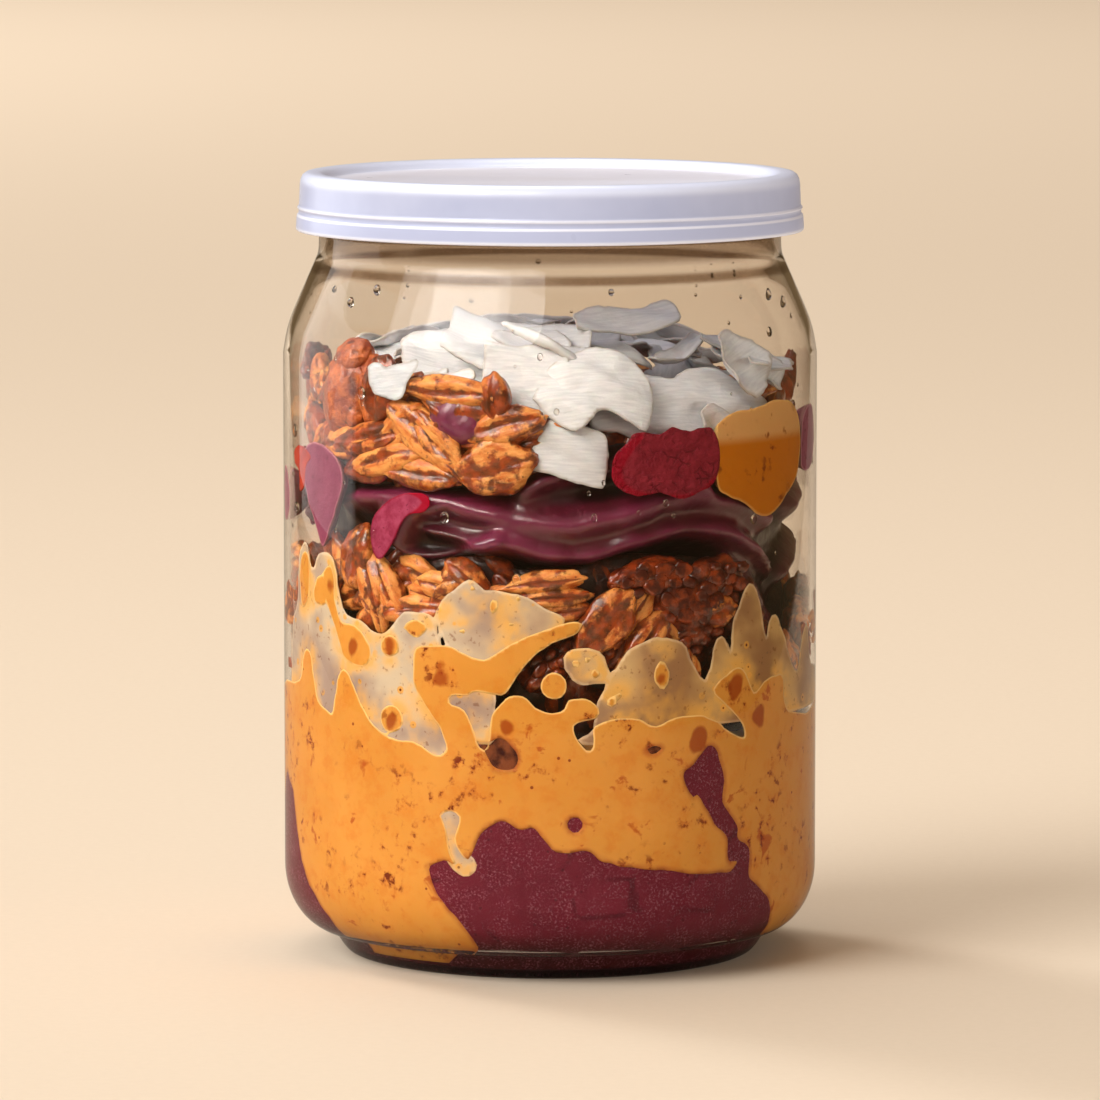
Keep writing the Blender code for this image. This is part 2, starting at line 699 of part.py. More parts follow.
# (angle, radius, height, length, width, tilt, heading, spin, curl, point); tilt 0 lies
# flat and 90 stands on edge, facing the heading.
CHIPS = (
    (4, 36.6, 79.6, 10.5, 9.0, 84, 4, 20, -0.6, 0.0),
    (33, 31.0, 87.0, 31, 11, 46, 30, -4, -2.0, 0.45),
    (-7, 33.0, 86.5, 10, 9, 62, -4, 60, 0.8, 0.2),
    (10.5, 30.0, 91.4, 18, 12, 50, 8, -16, -2.6, 0.25),
    (49, 31.0, 92.0, 14, 9, 58, 46, 25, 1.5, 0.3),
    (-35, 31.5, 89.4, 10, 6, 40, -33, 10, 1.0, 0.1),
    (-34, 20.0, 93.0, 24, 13, 12, -28, 12, 1.8, 0.3),
    (-12, 22.0, 94.5, 24, 12, 14, -8, -8, 2.0, 0.35),
    (30, 20.0, 94.5, 20, 11, 16, 24, 4, 1.6, 0.3),
    (62, 20.0, 91.5, 22, 12, 14, 60, 30, -1.6, 0.3),
    (-82, 24.0, 91.0, 22, 12, 18, -80, 12, 1.8, 0.35),
    (98, 25.0, 91.5, 24, 13, 20, 95, -10, 1.8, 0.35),
    (-120, 25.0, 91.2, 21, 12, 18, -120, 5, 1.8, 0.3),
    (137, 25.0, 91.4, 23, 12, 20, 135, 8, 1.8, 0.35),
    (178, 25.0, 92.0, 25, 13, 22, 180, -6, 2.0, 0.3),
    (10, 4.0, 95.0, 25, 14, 10, 0, 40, 2.2, 0.3),
    (0, 28.0, 95.8, 15, 4.5, 28, 0, -16, 1.2, 0.4),
)


def build_chips(material, neighbours):
    """Drop the chips one by one onto the heap and on those below, a hair clear of them."""
    placed = list(neighbours)
    for number, values in enumerate(CHIPS):
        angle, radius, height, length, width, tilt, heading, spin, curl, point = values
        turn = Matrix.Rotation(math.radians(heading), 4, "Z")
        turn = turn @ Matrix.Rotation(math.radians(tilt), 4, "X")
        turn = turn @ Matrix.Rotation(math.radians(spin), 4, "Z")

        def laid(drop):
            place = Matrix.Translation(polar(angle, radius, height - drop)) @ turn
            bm = chip(length, width, curl, point, place)
            return bm, inside_jar(bm) and clear_of(tree_of(bm.copy()), placed)

        drop = 0.0
        while not laid(drop)[1] and drop > -CHIP_LIFT:
            drop -= CHIP_STEP
        while laid(drop)[1] and drop < CHIP_DROP:
            drop += CHIP_STEP
        bm = laid(drop - CHIP_STEP)[0]
        placed.append(tree_of(bm.copy()))
        name = f"coconut_chip_{number + 1:02d}"
        add_object(name, finish_mesh(name, bm, 50.0), material)


# ---------------------------------------------------------------- assembly

for old in list(bpy.data.objects):
    bpy.data.objects.remove(old)

jar_of_acai = bpy.data.collections.new("jar_of_acai")
cutters = bpy.data.collections.new("cutters")
bpy.context.scene.collection.children.link(jar_of_acai)
bpy.context.scene.collection.children.link(cutters)

clear_plastic = make_material("clear_jar", (0.92, 0.92, 0.90), 0.03, 0.25)
lid_plastic = make_material("lid_plastic", (0.80, 0.81, 0.90), 0.30, 0.7)
acai_purple = make_material("acai", (0.16, 0.035, 0.06), 0.5)
acai_red = make_material("acai_red", (0.20, 0.02, 0.04), 0.4)
orange_cream = make_material("orange_cream", (0.80, 0.35, 0.06), 0.4)
baked_oats = make_material("granola", (0.45, 0.20, 0.06), 0.45)
baked_nuts = make_material("nut_cluster", (0.32, 0.09, 0.03), 0.4)
coconut_white = make_material("coconut", (0.88, 0.87, 0.83), 0.6)

build_jar(clear_plastic)
build_lid(lid_plastic)
build_acai_base(acai_purple)
streak_cutter = build_streak_cutter()
cream_layer = build_cream(orange_cream, streak_cutter)
build_tongue("acai_streak", acai_purple, STREAK_PATH, 2.6)
hook = build_tongue("cream_hook", orange_cream, HOOK_PATH, 1.0)
left_streak = build_tongue("cream_streak", orange_cream, LEFT_STREAK_PATH, 1.0)
swirl = build_swirl(acai_purple)
drops = [
    build_drop("acai_piece", acai_red, (26, 77), 8.3, 4.9, 6.5, (0.07, 0.4)),
    build_drop("cream_drop", orange_cream, (53.5, 76), 9.8, 7.6, 5.0, (0.06, 2.0)),
    build_drop("acai_drop_left", acai_purple, (-60.5, 70), 5.2, 6.2, 5.0, (0.08, 1.0)),
    build_drop("acai_drop_right", acai_purple, (77, 78), 4.2, 4.6, 4.0, (0.05, 0.0)),
    build_drop("acai_drop_side", acai_purple, (-82, 69.5), 2.8, 3.8, 2.6, (0.05, 0.5)),
]
base_trees = [world_tree(piece) for piece in (cream_layer, hook, left_streak, swirl, *drops)]
build_middle_heap(baked_oats, base_trees)
cluster = build_nut_cluster(baked_nuts)
base_trees.append(world_tree(cluster))
top_heap = build_top_heap(baked_oats, base_trees)
build_chips(coconut_white, base_trees + [world_tree(top_heap)])
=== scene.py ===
"""The looks of a shut jar of acai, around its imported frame.

Lengths are millimetres and angles degrees until a mesh is made, which is in metres.
Angle 0 faces the front (-Y) and angles grow towards +X.
"""

import math
import random

import bmesh
import bpy
import numpy as np
from mathutils import Matrix, Vector


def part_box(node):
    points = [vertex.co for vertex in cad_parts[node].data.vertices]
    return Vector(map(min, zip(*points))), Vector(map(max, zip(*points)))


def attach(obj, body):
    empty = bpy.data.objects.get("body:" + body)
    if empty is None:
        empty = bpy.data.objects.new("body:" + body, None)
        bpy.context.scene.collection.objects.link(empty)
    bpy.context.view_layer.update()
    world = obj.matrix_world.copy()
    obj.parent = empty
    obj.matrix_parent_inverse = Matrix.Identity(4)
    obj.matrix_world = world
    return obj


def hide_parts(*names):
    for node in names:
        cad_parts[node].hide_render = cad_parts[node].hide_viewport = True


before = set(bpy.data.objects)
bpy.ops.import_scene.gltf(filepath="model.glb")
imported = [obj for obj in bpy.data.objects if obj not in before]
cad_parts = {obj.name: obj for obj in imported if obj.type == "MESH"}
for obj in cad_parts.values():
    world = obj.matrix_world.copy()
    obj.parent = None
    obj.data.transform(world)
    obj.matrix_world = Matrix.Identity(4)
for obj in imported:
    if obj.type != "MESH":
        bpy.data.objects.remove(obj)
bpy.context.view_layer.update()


# ---------------------------------------------------------------- the studio
# A seamless pale paper floor, matt, that catches the jar's shadow. It is lit by a large
# soft box at the left, a weak fill, a box overhead and a far window behind, and cards
# stand where the jar and its food reflect them.

MM = 0.001


def srgb(red, green, blue):
    """Linear colour of a display colour given from 0 to 255."""
    return tuple((part / 255.0) ** 2.2 for part in (red, green, blue)) + (1.0,)


class Value:
    """A socket of a finish, so that sums on it add Math nodes."""

    def __init__(self, paint, socket):
        self.paint = paint
        self.socket = socket

    def do(self, operation, first, second):
        return self.paint.node("ShaderNodeMath", {"operation": operation}, {0: first, 1: second})

    def __add__(self, other):
        return self.do("ADD", self, other)

    def __sub__(self, other):
        return self.do("SUBTRACT", self, other)

    def __rsub__(self, other):
        return self.do("SUBTRACT", other, self)

    def __mul__(self, other):
        return self.do("MULTIPLY", self, other)

    __radd__ = __add__
    __rmul__ = __mul__

    def step(self, low, high):
        """0 below low and 1 above high, eased between."""
        settings = {"interpolation_type": "SMOOTHSTEP"}
        return self.paint.node("ShaderNodeMapRange", settings,
                               {"Value": self, "From Min": low, "From Max": high})


class Paint:
    """A finish: one Principled shader and the nodes that feed it."""

    def __init__(self, name, constants):
        self.material = bpy.data.materials.new(name)
        self.material.use_nodes = True
        self.tree = self.material.node_tree
        self.shader = self.tree.nodes["Principled BSDF"]
        for socket, value in constants.items():
            self.shader.inputs[socket].default_value = value

    def node(self, kind, settings=None, inputs=None, output=0):
        """Add a node: its settings first, then the values or links of its sockets."""
        made = self.tree.nodes.new(kind)
        for key, value in (settings or {}).items():
            setattr(made, key, value)
        for socket, value in (inputs or {}).items():
            if isinstance(value, Value):
                self.tree.links.new(value.socket, made.inputs[socket])
            else:
                made.inputs[socket].default_value = value
        return Value(self, made.outputs[output])

    def place(self):
        return self.node("ShaderNodeTexCoord", output="Object")

    def along(self, axis):
        """Distance along an axis of the jar, in millimetres."""
        return self.node("ShaderNodeSeparateXYZ", {}, {0: self.place()}, axis) * 1000.0

    def noise(self, size, detail=3.0, roughness=0.5, distortion=0.0):
        """Noise from 0 to 1 with features of about that many millimetres."""
        inputs = {"Vector": self.place(), "Scale": 1000.0 / size, "Detail": detail,
                  "Roughness": roughness, "Distortion": distortion}
        return self.node("ShaderNodeTexNoise", {}, inputs)

    def streaks(self, across, along, layer):
        """Noise drawn out along a grain or flake, for its fibres."""
        place = self.node("ShaderNodeCombineXYZ", {}, {0: across, 1: along, 2: layer})
        return self.node("ShaderNodeTexNoise", {}, {"Vector": place, "Scale": 1.0, "Detail": 3.0})

    def cells(self, size, feature="F1", place=None):
        """Voronoi cells of about that many millimetres."""
        inputs = {"Vector": place or self.place(), "Scale": 1000.0 / size}
        return self.node("ShaderNodeTexVoronoi", {"feature": feature}, inputs, "Distance")

    def bent(self, bend, amount):
        """The place, shifted by a bend to make straight lines crooked."""
        shift = self.node("ShaderNodeVectorMath", {"operation": "SCALE"}, {0: bend, "Scale": amount})
        return self.node("ShaderNodeVectorMath", {"operation": "ADD"}, {0: self.place(), 1: shift})

    def mark(self, name):
        """A number stored on the mesh's points."""
        return self.node("ShaderNodeAttribute", {"attribute_name": name}, output="Fac")

    def blend(self, share, first, second):
        inputs = {0: share, 6: first, 7: second}
        return self.node("ShaderNodeMix", {"data_type": "RGBA"}, inputs, 2)

    def ground(self, share, first, second):
        """Start the colour as a mix of two display colours."""
        self.colour = self.blend(share, srgb(*first), srgb(*second))

    def over(self, share, colour, second=None, between=None):
        """Lay a display colour, or a mix of two, over the colour so far."""
        top = srgb(*colour) if second is None else self.blend(between, srgb(*colour), srgb(*second))
        self.colour = self.blend(share, self.colour, top)

    def feed(self, socket, value):
        self.tree.links.new(value.socket, self.shader.inputs[socket])

    def show(self):
        self.feed("Base Color", self.colour)

    def emboss(self, height, depth):
        """Raise the surface by a height from 0 to 1, depth millimetres at most."""
        inputs = {"Height": height, "Distance": depth * MM, "Strength": 1.0}
        self.feed("Normal", self.node("ShaderNodeBump", {}, inputs))


def store(mesh, mark, values):
    """Keep a number for each point of a mesh."""
    layer = mesh.attributes.new(mark, "FLOAT", "POINT")
    layer.data.foreach_set("value", np.asarray(values, np.float32))


def add_mesh(name, points, faces, paint, marks=None):
    """Make a piece of points in millimetres, faced outwards and shaded smooth."""
    mesh = bpy.data.meshes.new(name)
    mesh.from_pydata((np.asarray(points, float) * MM).tolist(), [], faces)
    for mark, values in (marks or {}).items():
        store(mesh, mark, values)
    bm = bmesh.new()
    bm.from_mesh(mesh)
    bmesh.ops.recalc_face_normals(bm, faces=bm.faces)
    bm.to_mesh(mesh)
    bm.free()
    mesh.shade_smooth()
    mesh.materials.append(paint.material)
    piece = bpy.data.objects.new(name, mesh)
    bpy.context.scene.collection.objects.link(piece)
    return piece


paper = Paint("floor_paper", {"Roughness": 0.9, "Specular IOR Level": 0.2,
                              "Emission Strength": 0.05})
paper.ground(paper.noise(1.5, 4.0), (213, 197, 175), (218, 202, 180))
paper.show()
paper.feed("Emission Color", paper.colour)


def ray(paint, kind):
    """1 for that kind of ray and 0 for any other."""
    return paint.node("ShaderNodeLightPath", output=kind)


def cover(paint, share, shader):
    """Lay another shader over the finish by a share from 0 to 1."""
    mixed = paint.node("ShaderNodeMixShader", {},
                       {0: share, 1: Value(paint, paint.shader.outputs[0]), 2: shader})
    paint.tree.links.new(mixed.socket, paint.tree.nodes["Material Output"].inputs["Surface"])


PAPER_DIMMED = 0.5         # by how much less the jar reflects the paper
cover(paper, ray(paper, "Is Glossy Ray") * ray(paper, "Is Reflection Ray") * PAPER_DIMMED,
      paper.node("ShaderNodeEmission", {}, {"Strength": 0.0}))
FLOOR_NEAR = 380.0         # the sheet's round front end
FLOOR_FAR = 9000.0
FLOOR_HALF = 3380.0        # half its width at the far end
FLOOR_LEVEL = -0.02
near_turns = np.radians(np.linspace(180.0, 360.0, 33))
floor_edge = [(FLOOR_NEAR * math.cos(turn), FLOOR_NEAR * math.sin(turn), FLOOR_LEVEL)
              for turn in near_turns]
floor_edge += [(FLOOR_HALF, FLOOR_FAR, FLOOR_LEVEL), (-FLOOR_HALF, FLOOR_FAR, FLOOR_LEVEL)]
floor = add_mesh("floor", floor_edge, [tuple(range(len(floor_edge)))], paper)


def aim(thing, place, target):
    """Put a lamp or camera at a place, pointing at a target, both in metres."""
    bpy.context.scene.collection.objects.link(thing)
    thing.location = place
    thing.rotation_euler = (Vector(target) - Vector(place)).to_track_quat("-Z", "Y").to_euler()
    return thing


camera_data = bpy.data.cameras.new("camera")
camera_data.sensor_width = 36.0
camera_data.lens = 240.8
camera_data.clip_start = 0.01
camera = aim(bpy.data.objects.new("camera", camera_data), (0.0, -1.1, 0.181), (0.0, 0.0, 0.0603))
bpy.context.scene.camera = camera

LAMP_COLOUR = (0.99, 0.99, 1.0)
LAMPS = (                  # size, power, place, target, and what it reaches
    ("soft_box", (1.0, 0.6), 5.4, (-0.75, -0.55, 0.72), (0.0, 0.0, 0.07), "both"),
    ("bright_card", (0.86, 0.40), 4.6, (-0.45, -0.66, 0.71), (0.0, 0.0, 0.09), "gloss"),
    ("left_card", (0.9, 0.5), 1.6, (-1.0, 0.45, 0.25), (0.0, 0.0, 0.06), "gloss"),
    ("low_fill", (0.35, 0.12), 1.1, (0.52, -0.36, 0.06), (0.0, 0.0, 0.06), "matt"),
    ("far_window", (1.4, 1.4), 150.0, (-2.9, 3.2, 2.2), (0.0, 2.8, 0.0), "matt"),
    ("over_box", (0.8, 0.8), 4.3, (-0.15, 0.25, 1.10), (0.0, 0.0, 0.1), "both"))
for name, (wide, tall), power, place, target, reach in LAMPS:
    lamp = bpy.data.lights.new(name, "AREA")
    lamp.shape = "RECTANGLE"
    lamp.size = wide
    lamp.size_y = tall
    lamp.energy = power
    lamp.color = LAMP_COLOUR
    stand = aim(bpy.data.objects.new(name, lamp), place, target)
    stand.visible_glossy = reach != "matt"
    stand.visible_transmission = reach != "matt"
    stand.visible_diffuse = reach != "gloss"

daylight = bpy.data.lights.new("daylight", "SUN")
daylight.energy = 1.78
daylight.angle = math.radians(38.0)
daylight.color = LAMP_COLOUR
sun = aim(bpy.data.objects.new("daylight", daylight), (-0.70, -0.55, 0.66), (0.0, 0.0, 0.0))
sun.visible_glossy = False

world = bpy.data.worlds.new("studio")
world.use_nodes = True
backdrop = world.node_tree.nodes["Background"]
backdrop.inputs["Color"].default_value = srgb(255, 208, 150)
ray_kind = world.node_tree.nodes.new("ShaderNodeLightPath")
BACKDROP_LIGHT = 0.26      # and what is added to it where it is reflected or seen
BACKDROP_CHANGES = (("Is Glossy Ray", -0.10), ("Is Camera Ray", 0.45))
strength = None
for ray_name, change in BACKDROP_CHANGES:
    sum_up = world.node_tree.nodes.new("ShaderNodeMath")
    sum_up.operation = "MULTIPLY_ADD"
    sum_up.inputs[1].default_value = change
    sum_up.inputs[2].default_value = BACKDROP_LIGHT
    world.node_tree.links.new(ray_kind.outputs[ray_name], sum_up.inputs[0])
    if strength is not None:
        world.node_tree.links.new(strength, sum_up.inputs[2])
    strength = sum_up.outputs[0]
world.node_tree.links.new(strength, backdrop.inputs["Strength"])
bpy.context.scene.world = world
bpy.context.scene.view_settings.view_transform = "Standard"
cycles = bpy.context.scene.cycles
cycles.max_bounces = 8
cycles.diffuse_bounces = 2
cycles.glossy_bounces = 3
cycles.transmission_bounces = 8


# ------------------------------------------------------------------- the jar
# A wide-mouthed jar blown from thin clear plastic, about 0.95 mm thick, with a rounded
# heel, a narrower foot and a bead round its neck for the lid. One turned shell.

BODY_RADIUS = 40.0
WALL = 0.95
HEEL_TOP = 13.3
RIM_TOP = 114.5
JAR_SIDES = 160


def polar(angle, radius, height):
    """Points at an angle, radius and height, as rows of x, y and z."""
    angle, radius, height = np.broadcast_arrays(angle, radius, height)
    turn = np.radians(angle)
    return np.stack((radius * np.sin(turn), -radius * np.cos(turn), height), -1)


def closed_faces(rings, sides):
    """Faces of a body of rings of points that lie one after another, its two poles last."""
    faces, last = [], sides * (rings - 1)
    for index in range(sides):
        after = (index + 1) % sides
        faces += [(low + index, low + after, low + sides + after, low + sides + index)
                  for low in range(0, last, sides)]
        faces += [(sides * rings, after, index), (sides * rings + 1, last + index, last + after)]
    return faces


def turned(name, outline, sides, paint):
    """Solid turned from an outline whose two ends are on the axis."""
    angles = np.arange(sides) * 360.0 / sides
    points = [polar(angles, radius, height) for radius, height in outline[1:-1]]
    poles = [(0, 0, outline[0][1]), (0, 0, outline[-1][1])]
    return add_mesh(name, np.concatenate(points + [poles]), closed_faces(len(points), sides), paint)


def eased(points, parts):
    """Catmull-Rom curve through points, with parts steps to each stretch."""
    points = np.asarray(points, float)
    ends = np.concatenate((points[:1], points, points[-1:]))
    curve = []
    for a, b, c, d in zip(ends, ends[1:], ends[2:], ends[3:]):
        for share in np.arange(parts) / parts:
            curve.append(0.5 * (2 * b + (c - a) * share + (2 * a - 5 * b + 4 * c - d) * share ** 2
                                + (3 * b - a - 3 * c + d) * share ** 3))
    return np.array(curve + [points[-1]])


shoulder = eased([(34.6, 108.2), (34.6, 106.6), (34.75, 105.2), (35.3, 103.8), (38.3, 96.9),
                  (39.4, 93.7), (BODY_RADIUS, 90.4)], 4)
heel = [(BODY_RADIUS - 7.3 * (1.0 - math.cos(turn)), HEEL_TOP - 9.8 * math.sin(turn))
        for turn in np.radians(np.linspace(0, 68, 12))]
foot = eased([(33.2, 3.75), (32.7, 3.3), (31.6, 1.5), (30.6, 0.35), (29.5, 0.0)], 3)
outside = np.concatenate((shoulder, heel, foot))
side_step = np.gradient(outside, axis=0)
side_step /= np.linalg.norm(side_step, axis=1)[:, None]
inside = outside + side_step[:, ::-1] * (WALL, -WALL)
inside[:, 0] = np.minimum(inside[:, 0], BODY_RADIUS - WALL)
FLOOR_TOP = 1.85


def wall(height):
    """Radius of the jar's inner face at a height."""
    order = np.argsort(inside[:, 1])
    return np.interp(height, inside[order, 1], inside[order, 0])


clear = Paint("clear_jar", {"Roughness": 0.015, "IOR": 1.34, "Transmission Weight": 1.0})
CLEAR_TINT = (0.90, 0.86, 0.81, 1.0)
CLEAR_SHADE_LINE = (0.30, 0.21, 0.14, 1.0)       # painted shade line at the thicker ring under the neck
CLEAR_NECK_SHADE = (0.38, 0.30, 0.23, 1.0)
clear_high = clear.along(2)
# Painted shade: a dark line at the ring under the neck, and the neck darker for the lid's shade seen through
# it.
clear_ring_shade = (clear_high.step(102.3, 102.9) * clear_high.step(104.3, 103.5)
              * clear.noise(16.0, 2.0).step(0.15, 0.5) * 0.9)
clear.colour = clear.blend(clear_high.step(104.8, 106.4) * 0.9,
                           clear.blend(clear_ring_shade, CLEAR_TINT, CLEAR_SHADE_LINE), CLEAR_NECK_SHADE)
clear.show()


def pass_lamps(paint, colour):
    """Let lamps shine straight through, tinted by a colour."""
    cover(paint, ray(paint, "Is Shadow Ray"),
          paint.node("ShaderNodeBsdfTransparent", {}, {"Color": colour + (1.0,)}))


pass_lamps(clear, (0.95, 0.94, 0.92))
rim = [(33.65, RIM_TOP - 0.4), (33.8, RIM_TOP - 0.1), (34.15, RIM_TOP), (34.5, RIM_TOP - 0.2),
       (34.7, 113.6), (34.7, 112.5), (35.1, 112.1), (35.55, 111.5), (35.6, 110.8), (35.5, 110.2),
       (35.0, 109.5), (34.7, 109.1)]
base_under = [(27.0, 0.0), (25.5, 0.25), (24.5, 0.8), (23.0, 0.9), (0.0, 0.9)]
inner_side = [(radius - 0.12 * math.exp(-((height - 103.6) / 1.1) ** 2), height)
              for radius, height in inside[::-1] if height > FLOOR_TOP + 0.3]
jar_outline = ([(0.0, FLOOR_TOP), (24.0, FLOOR_TOP), (inner_side[0][0] - 0.8, FLOOR_TOP + 0.02)]
               + inner_side + rim + [tuple(point) for point in outside] + base_under)
jar = turned("jar_shell", jar_outline, JAR_SIDES, clear)
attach(jar, "root")
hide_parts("jar")


# ------------------------------------------------------------------- the lid
# A push-on cap moulded in soft translucent plastic: a raised rim round a sunken panel,
# a skirt that flares a little, two fine ridges and a wider band at its lower edge.

LID_SIDES = 160
# The lid glows a little: painted light for what shines through the plastic.
milky = Paint("lid_plastic", {"IOR": 1.45, "Specular IOR Level": 0.45, "Emission Strength": 0.14,
                              "Emission Color": srgb(200, 206, 236), "Coat Weight": 0.5,
                              "Coat Roughness": 0.16})
milky_high = milky.along(2)
milky_flat = milky.node("ShaderNodeVectorMath", {"operation": "MULTIPLY"},
                        {0: milky.place(), 1: (1.0, 1.0, 0.0)})
milky_out = milky.node("ShaderNodeVectorMath", {"operation": "LENGTH"}, {0: milky_flat}, 1) * 1000.0
milky_cloud = milky.noise(14.0, 3.0)
milky_ridge_highlight = milky_high.step(111.75, 111.95) * milky_high.step(112.45, 112.15)
milky_bead_highlight = milky_high.step(110.6, 110.85) * milky_high.step(111.2, 111.0)
milky_edge_highlight = milky_high.step(109.3, 108.8)
milky.ground(milky_cloud, (168, 176, 204), (196, 203, 227))
milky.over(milky_high.step(111.4, 110.9), (184, 192, 220))
# Painted highlights: near-white lines on the ridges, the bead and the lower edge.
milky.over(milky_ridge_highlight * 0.8 + milky_bead_highlight + milky_edge_highlight, (240, 243, 252))
# The top rim and the panel are painted lighter, as lit from above.
milky.over(milky_high.step(115.2, 116.4), (222, 230, 250))
milky.over(milky_out.step(33.4, 32.2), (238, 238, 247))
milky.show()
milky.feed("Roughness", milky.noise(9.0, 3.0) * 0.12 + 0.24)
milky.feed("Alpha", milky_cloud.step(0.2, 0.8) * 0.08 + 0.88)
pass_lamps(milky, (0.60, 0.61, 0.66))

lid_under = [(0.0, 114.8), (35.1, 114.8), (35.9, 114.3), (36.3, 113.4), (36.7, 110.4),
             (36.95, 108.75)]
lid_edge = [(37.1, 108.6), (37.8, 108.6), (37.98, 108.75), (38.0, 109.0)]
lid_skirt = [(37.9, 110.7), (37.85, 110.95), (37.62, 111.1), (37.58, 111.5), (37.62, 111.75),
             (37.78, 111.95), (37.78, 112.1), (37.6, 112.3), (37.52, 112.6), (37.4, 115.6)]
lid_rim = [(37.3, 116.2), (37.0, 116.85), (36.5, 117.2), (35.9, 117.3), (34.6, 117.25),
           (34.0, 117.05), (33.5, 116.6), (33.2, 116.2), (32.6, 116.02), (0.0, 116.0)]
lid = turned("lid_cap", lid_under + lid_edge + lid_skirt + lid_rim, LID_SIDES, milky)
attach(lid, "root")
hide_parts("lid")


# ------------------------------------------------------------- the acai base
# Frozen acai puree, spooned in first: dense, dull and frosty, with ice specks and fine
# cracks where it lies on the jar. It fills the foot and rises in lumps at the side.

REACH = 39.17              # contents reach just into the jar's wall
SKIN = REACH - (BODY_RADIUS - WALL)


def touch(height):
    """Radius of what presses on the jar at a height."""
    return wall(height) + SKIN


def around(*knots):
    """Function of the angle that eases through (angle, value) knots and closes on itself."""
    angles, values = np.array(sorted(knots), float).T
    angles = np.append(angles, angles[0] + 360.0)
    values = np.append(values, values[0])

    def value(angle):
        turned_angle = angles[0] + np.mod(np.asarray(angle, float) - angles[0], 360.0)
        index = np.clip(np.searchsorted(angles, turned_angle, side="right") - 1, 0, len(angles) - 2)
        share = (turned_angle - angles[index]) / (angles[index + 1] - angles[index])
        share = share * share * (3.0 - 2.0 * share)
        return values[index] + (values[index + 1] - values[index]) * share
    return value


def smooth(low, high, value):
    share = np.clip((value - low) / (high - low), 0.0, 1.0)
    return share * share * (3.0 - 2.0 * share)


def ruffle(points, size, seed=0):
    """Smooth noise from -1 to 1 over points, with bumps of that many millimetres."""
    spot = np.asarray(points, float) / size + seed * 17.13
    cell = np.floor(spot)
    share = spot - cell
    share = share * share * (3.0 - 2.0 * share)
    total = 0.0
    for corner in np.ndindex(2, 2, 2):
        mixed = np.sin((cell + corner) @ np.array((127.1, 311.7, 74.7))) * 43758.5453
        weight = np.prod(np.where(corner, share, 1.0 - share), -1)
        total = total + weight * (2.0 * (mixed - np.floor(mixed)) - 1.0)
    return total


def layered(name, under, over, side_radius, paint, sides=240, rows=24, rings=14, rough=None):
    """Body between two uneven surfaces, with a side that side_radius(angle, height) gives."""
    angles = np.arange(sides) * 360.0 / sides
    shares = np.linspace(0.0, 1.0, rings + 1)[1:]
    rows_up = np.linspace(0.0, 1.0, rows + 2)[1:-1]
    stack = []
    for share in shares:
        height = under(angles, share)
        stack.append(polar(angles, share * side_radius(angles, height), height))
    for rise in rows_up:
        height = under(angles, 1.0) + rise * (over(angles, 1.0) - under(angles, 1.0))
        stack.append(polar(angles, side_radius(angles, height), height))
    for share in shares[::-1]:
        height = over(angles, share)
        stack.append(polar(angles, share * side_radius(angles, height), height))
    poles = [(0, 0, float(np.mean(under(angles, 0.0)))), (0, 0, float(np.mean(over(angles, 0.0))))]
    points = np.concatenate(stack + [poles])
    return add_mesh(name, rough(points) if rough else points, closed_faces(len(stack), sides), paint)


acai_base_wall = around(
    (-165, 8), (-140, 15), (-115, 7), (-98, 19), (-82, 28), (-75, 26), (-67, 17), (-60, 11),
    (-54, 6.6), (-32, 8), (-27, 18.5), (-19, 24), (-10, 26), (0, 24), (12, 21),
    (30, 19), (46, 21), (52, 13), (59, 10), (64, 6.8), (85, 6.6), (110, 11), (135, 20),
    (160, 13))


def acai_base_over(angles, share):
    return 15.0 + (acai_base_wall(angles) - 15.0) * smooth(0.55, 0.99, share)


frozen = Paint("acai_frozen", {"Roughness": 0.6, "Specular IOR Level": 0.08,
                               "Subsurface Weight": 0.08, "Subsurface Scale": 0.001})
frozen_ice = frozen.noise(0.34, 2.0, 0.7).step(0.52, 0.66) * frozen.noise(3.2, 2.0).step(0.30, 0.60)
frozen_bend = frozen.node("ShaderNodeTexNoise", {}, {"Scale": 400.0}, 1)
frozen_edge = frozen.cells(6.5, "DISTANCE_TO_EDGE", frozen.bent(frozen_bend, 0.0028))
frozen_crack = frozen_edge.step(0.030, 0.010) * frozen.noise(7.0, 3.0).step(0.54, 0.62)
frozen.ground(frozen.noise(7.0, 4.0, 0.6), (86, 20, 34), (120, 40, 54))
frozen.over(frozen.along(2).step(9.0, 4.6), (72, 22, 26))
frozen.over(frozen_ice * 0.7, (158, 96, 106))
frozen.over(frozen.cells(1.9).step(0.16, 0.06) * 0.6, (60, 16, 26))
frozen.over(frozen_crack * 0.3, (40, 8, 18))
frozen.show()
frozen.emboss(frozen.noise(0.8, 3.0) * 0.6 + frozen_ice * 0.4 - frozen_crack * 0.4, 0.16)

acai_base = layered("acai_base_puree", lambda angles, share: FLOOR_TOP - 0.05, acai_base_over,
                    lambda angles, height: touch(height) - 0.05, frozen, rows=30)
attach(acai_base, "root")
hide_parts("acai_base", "acai_streak")


# ----------------------------------------------------------------- the cream
# A thick orange cream, smooth as nut butter. Its bulk lies over the acai. Where it was
# spooned in it wetted the wall, and clings there as a skin with fingers, a hook, loose
# islands and holes. The skin is one closed sheet and the bulk a block behind it.

ARC = math.radians(1.0) * REACH


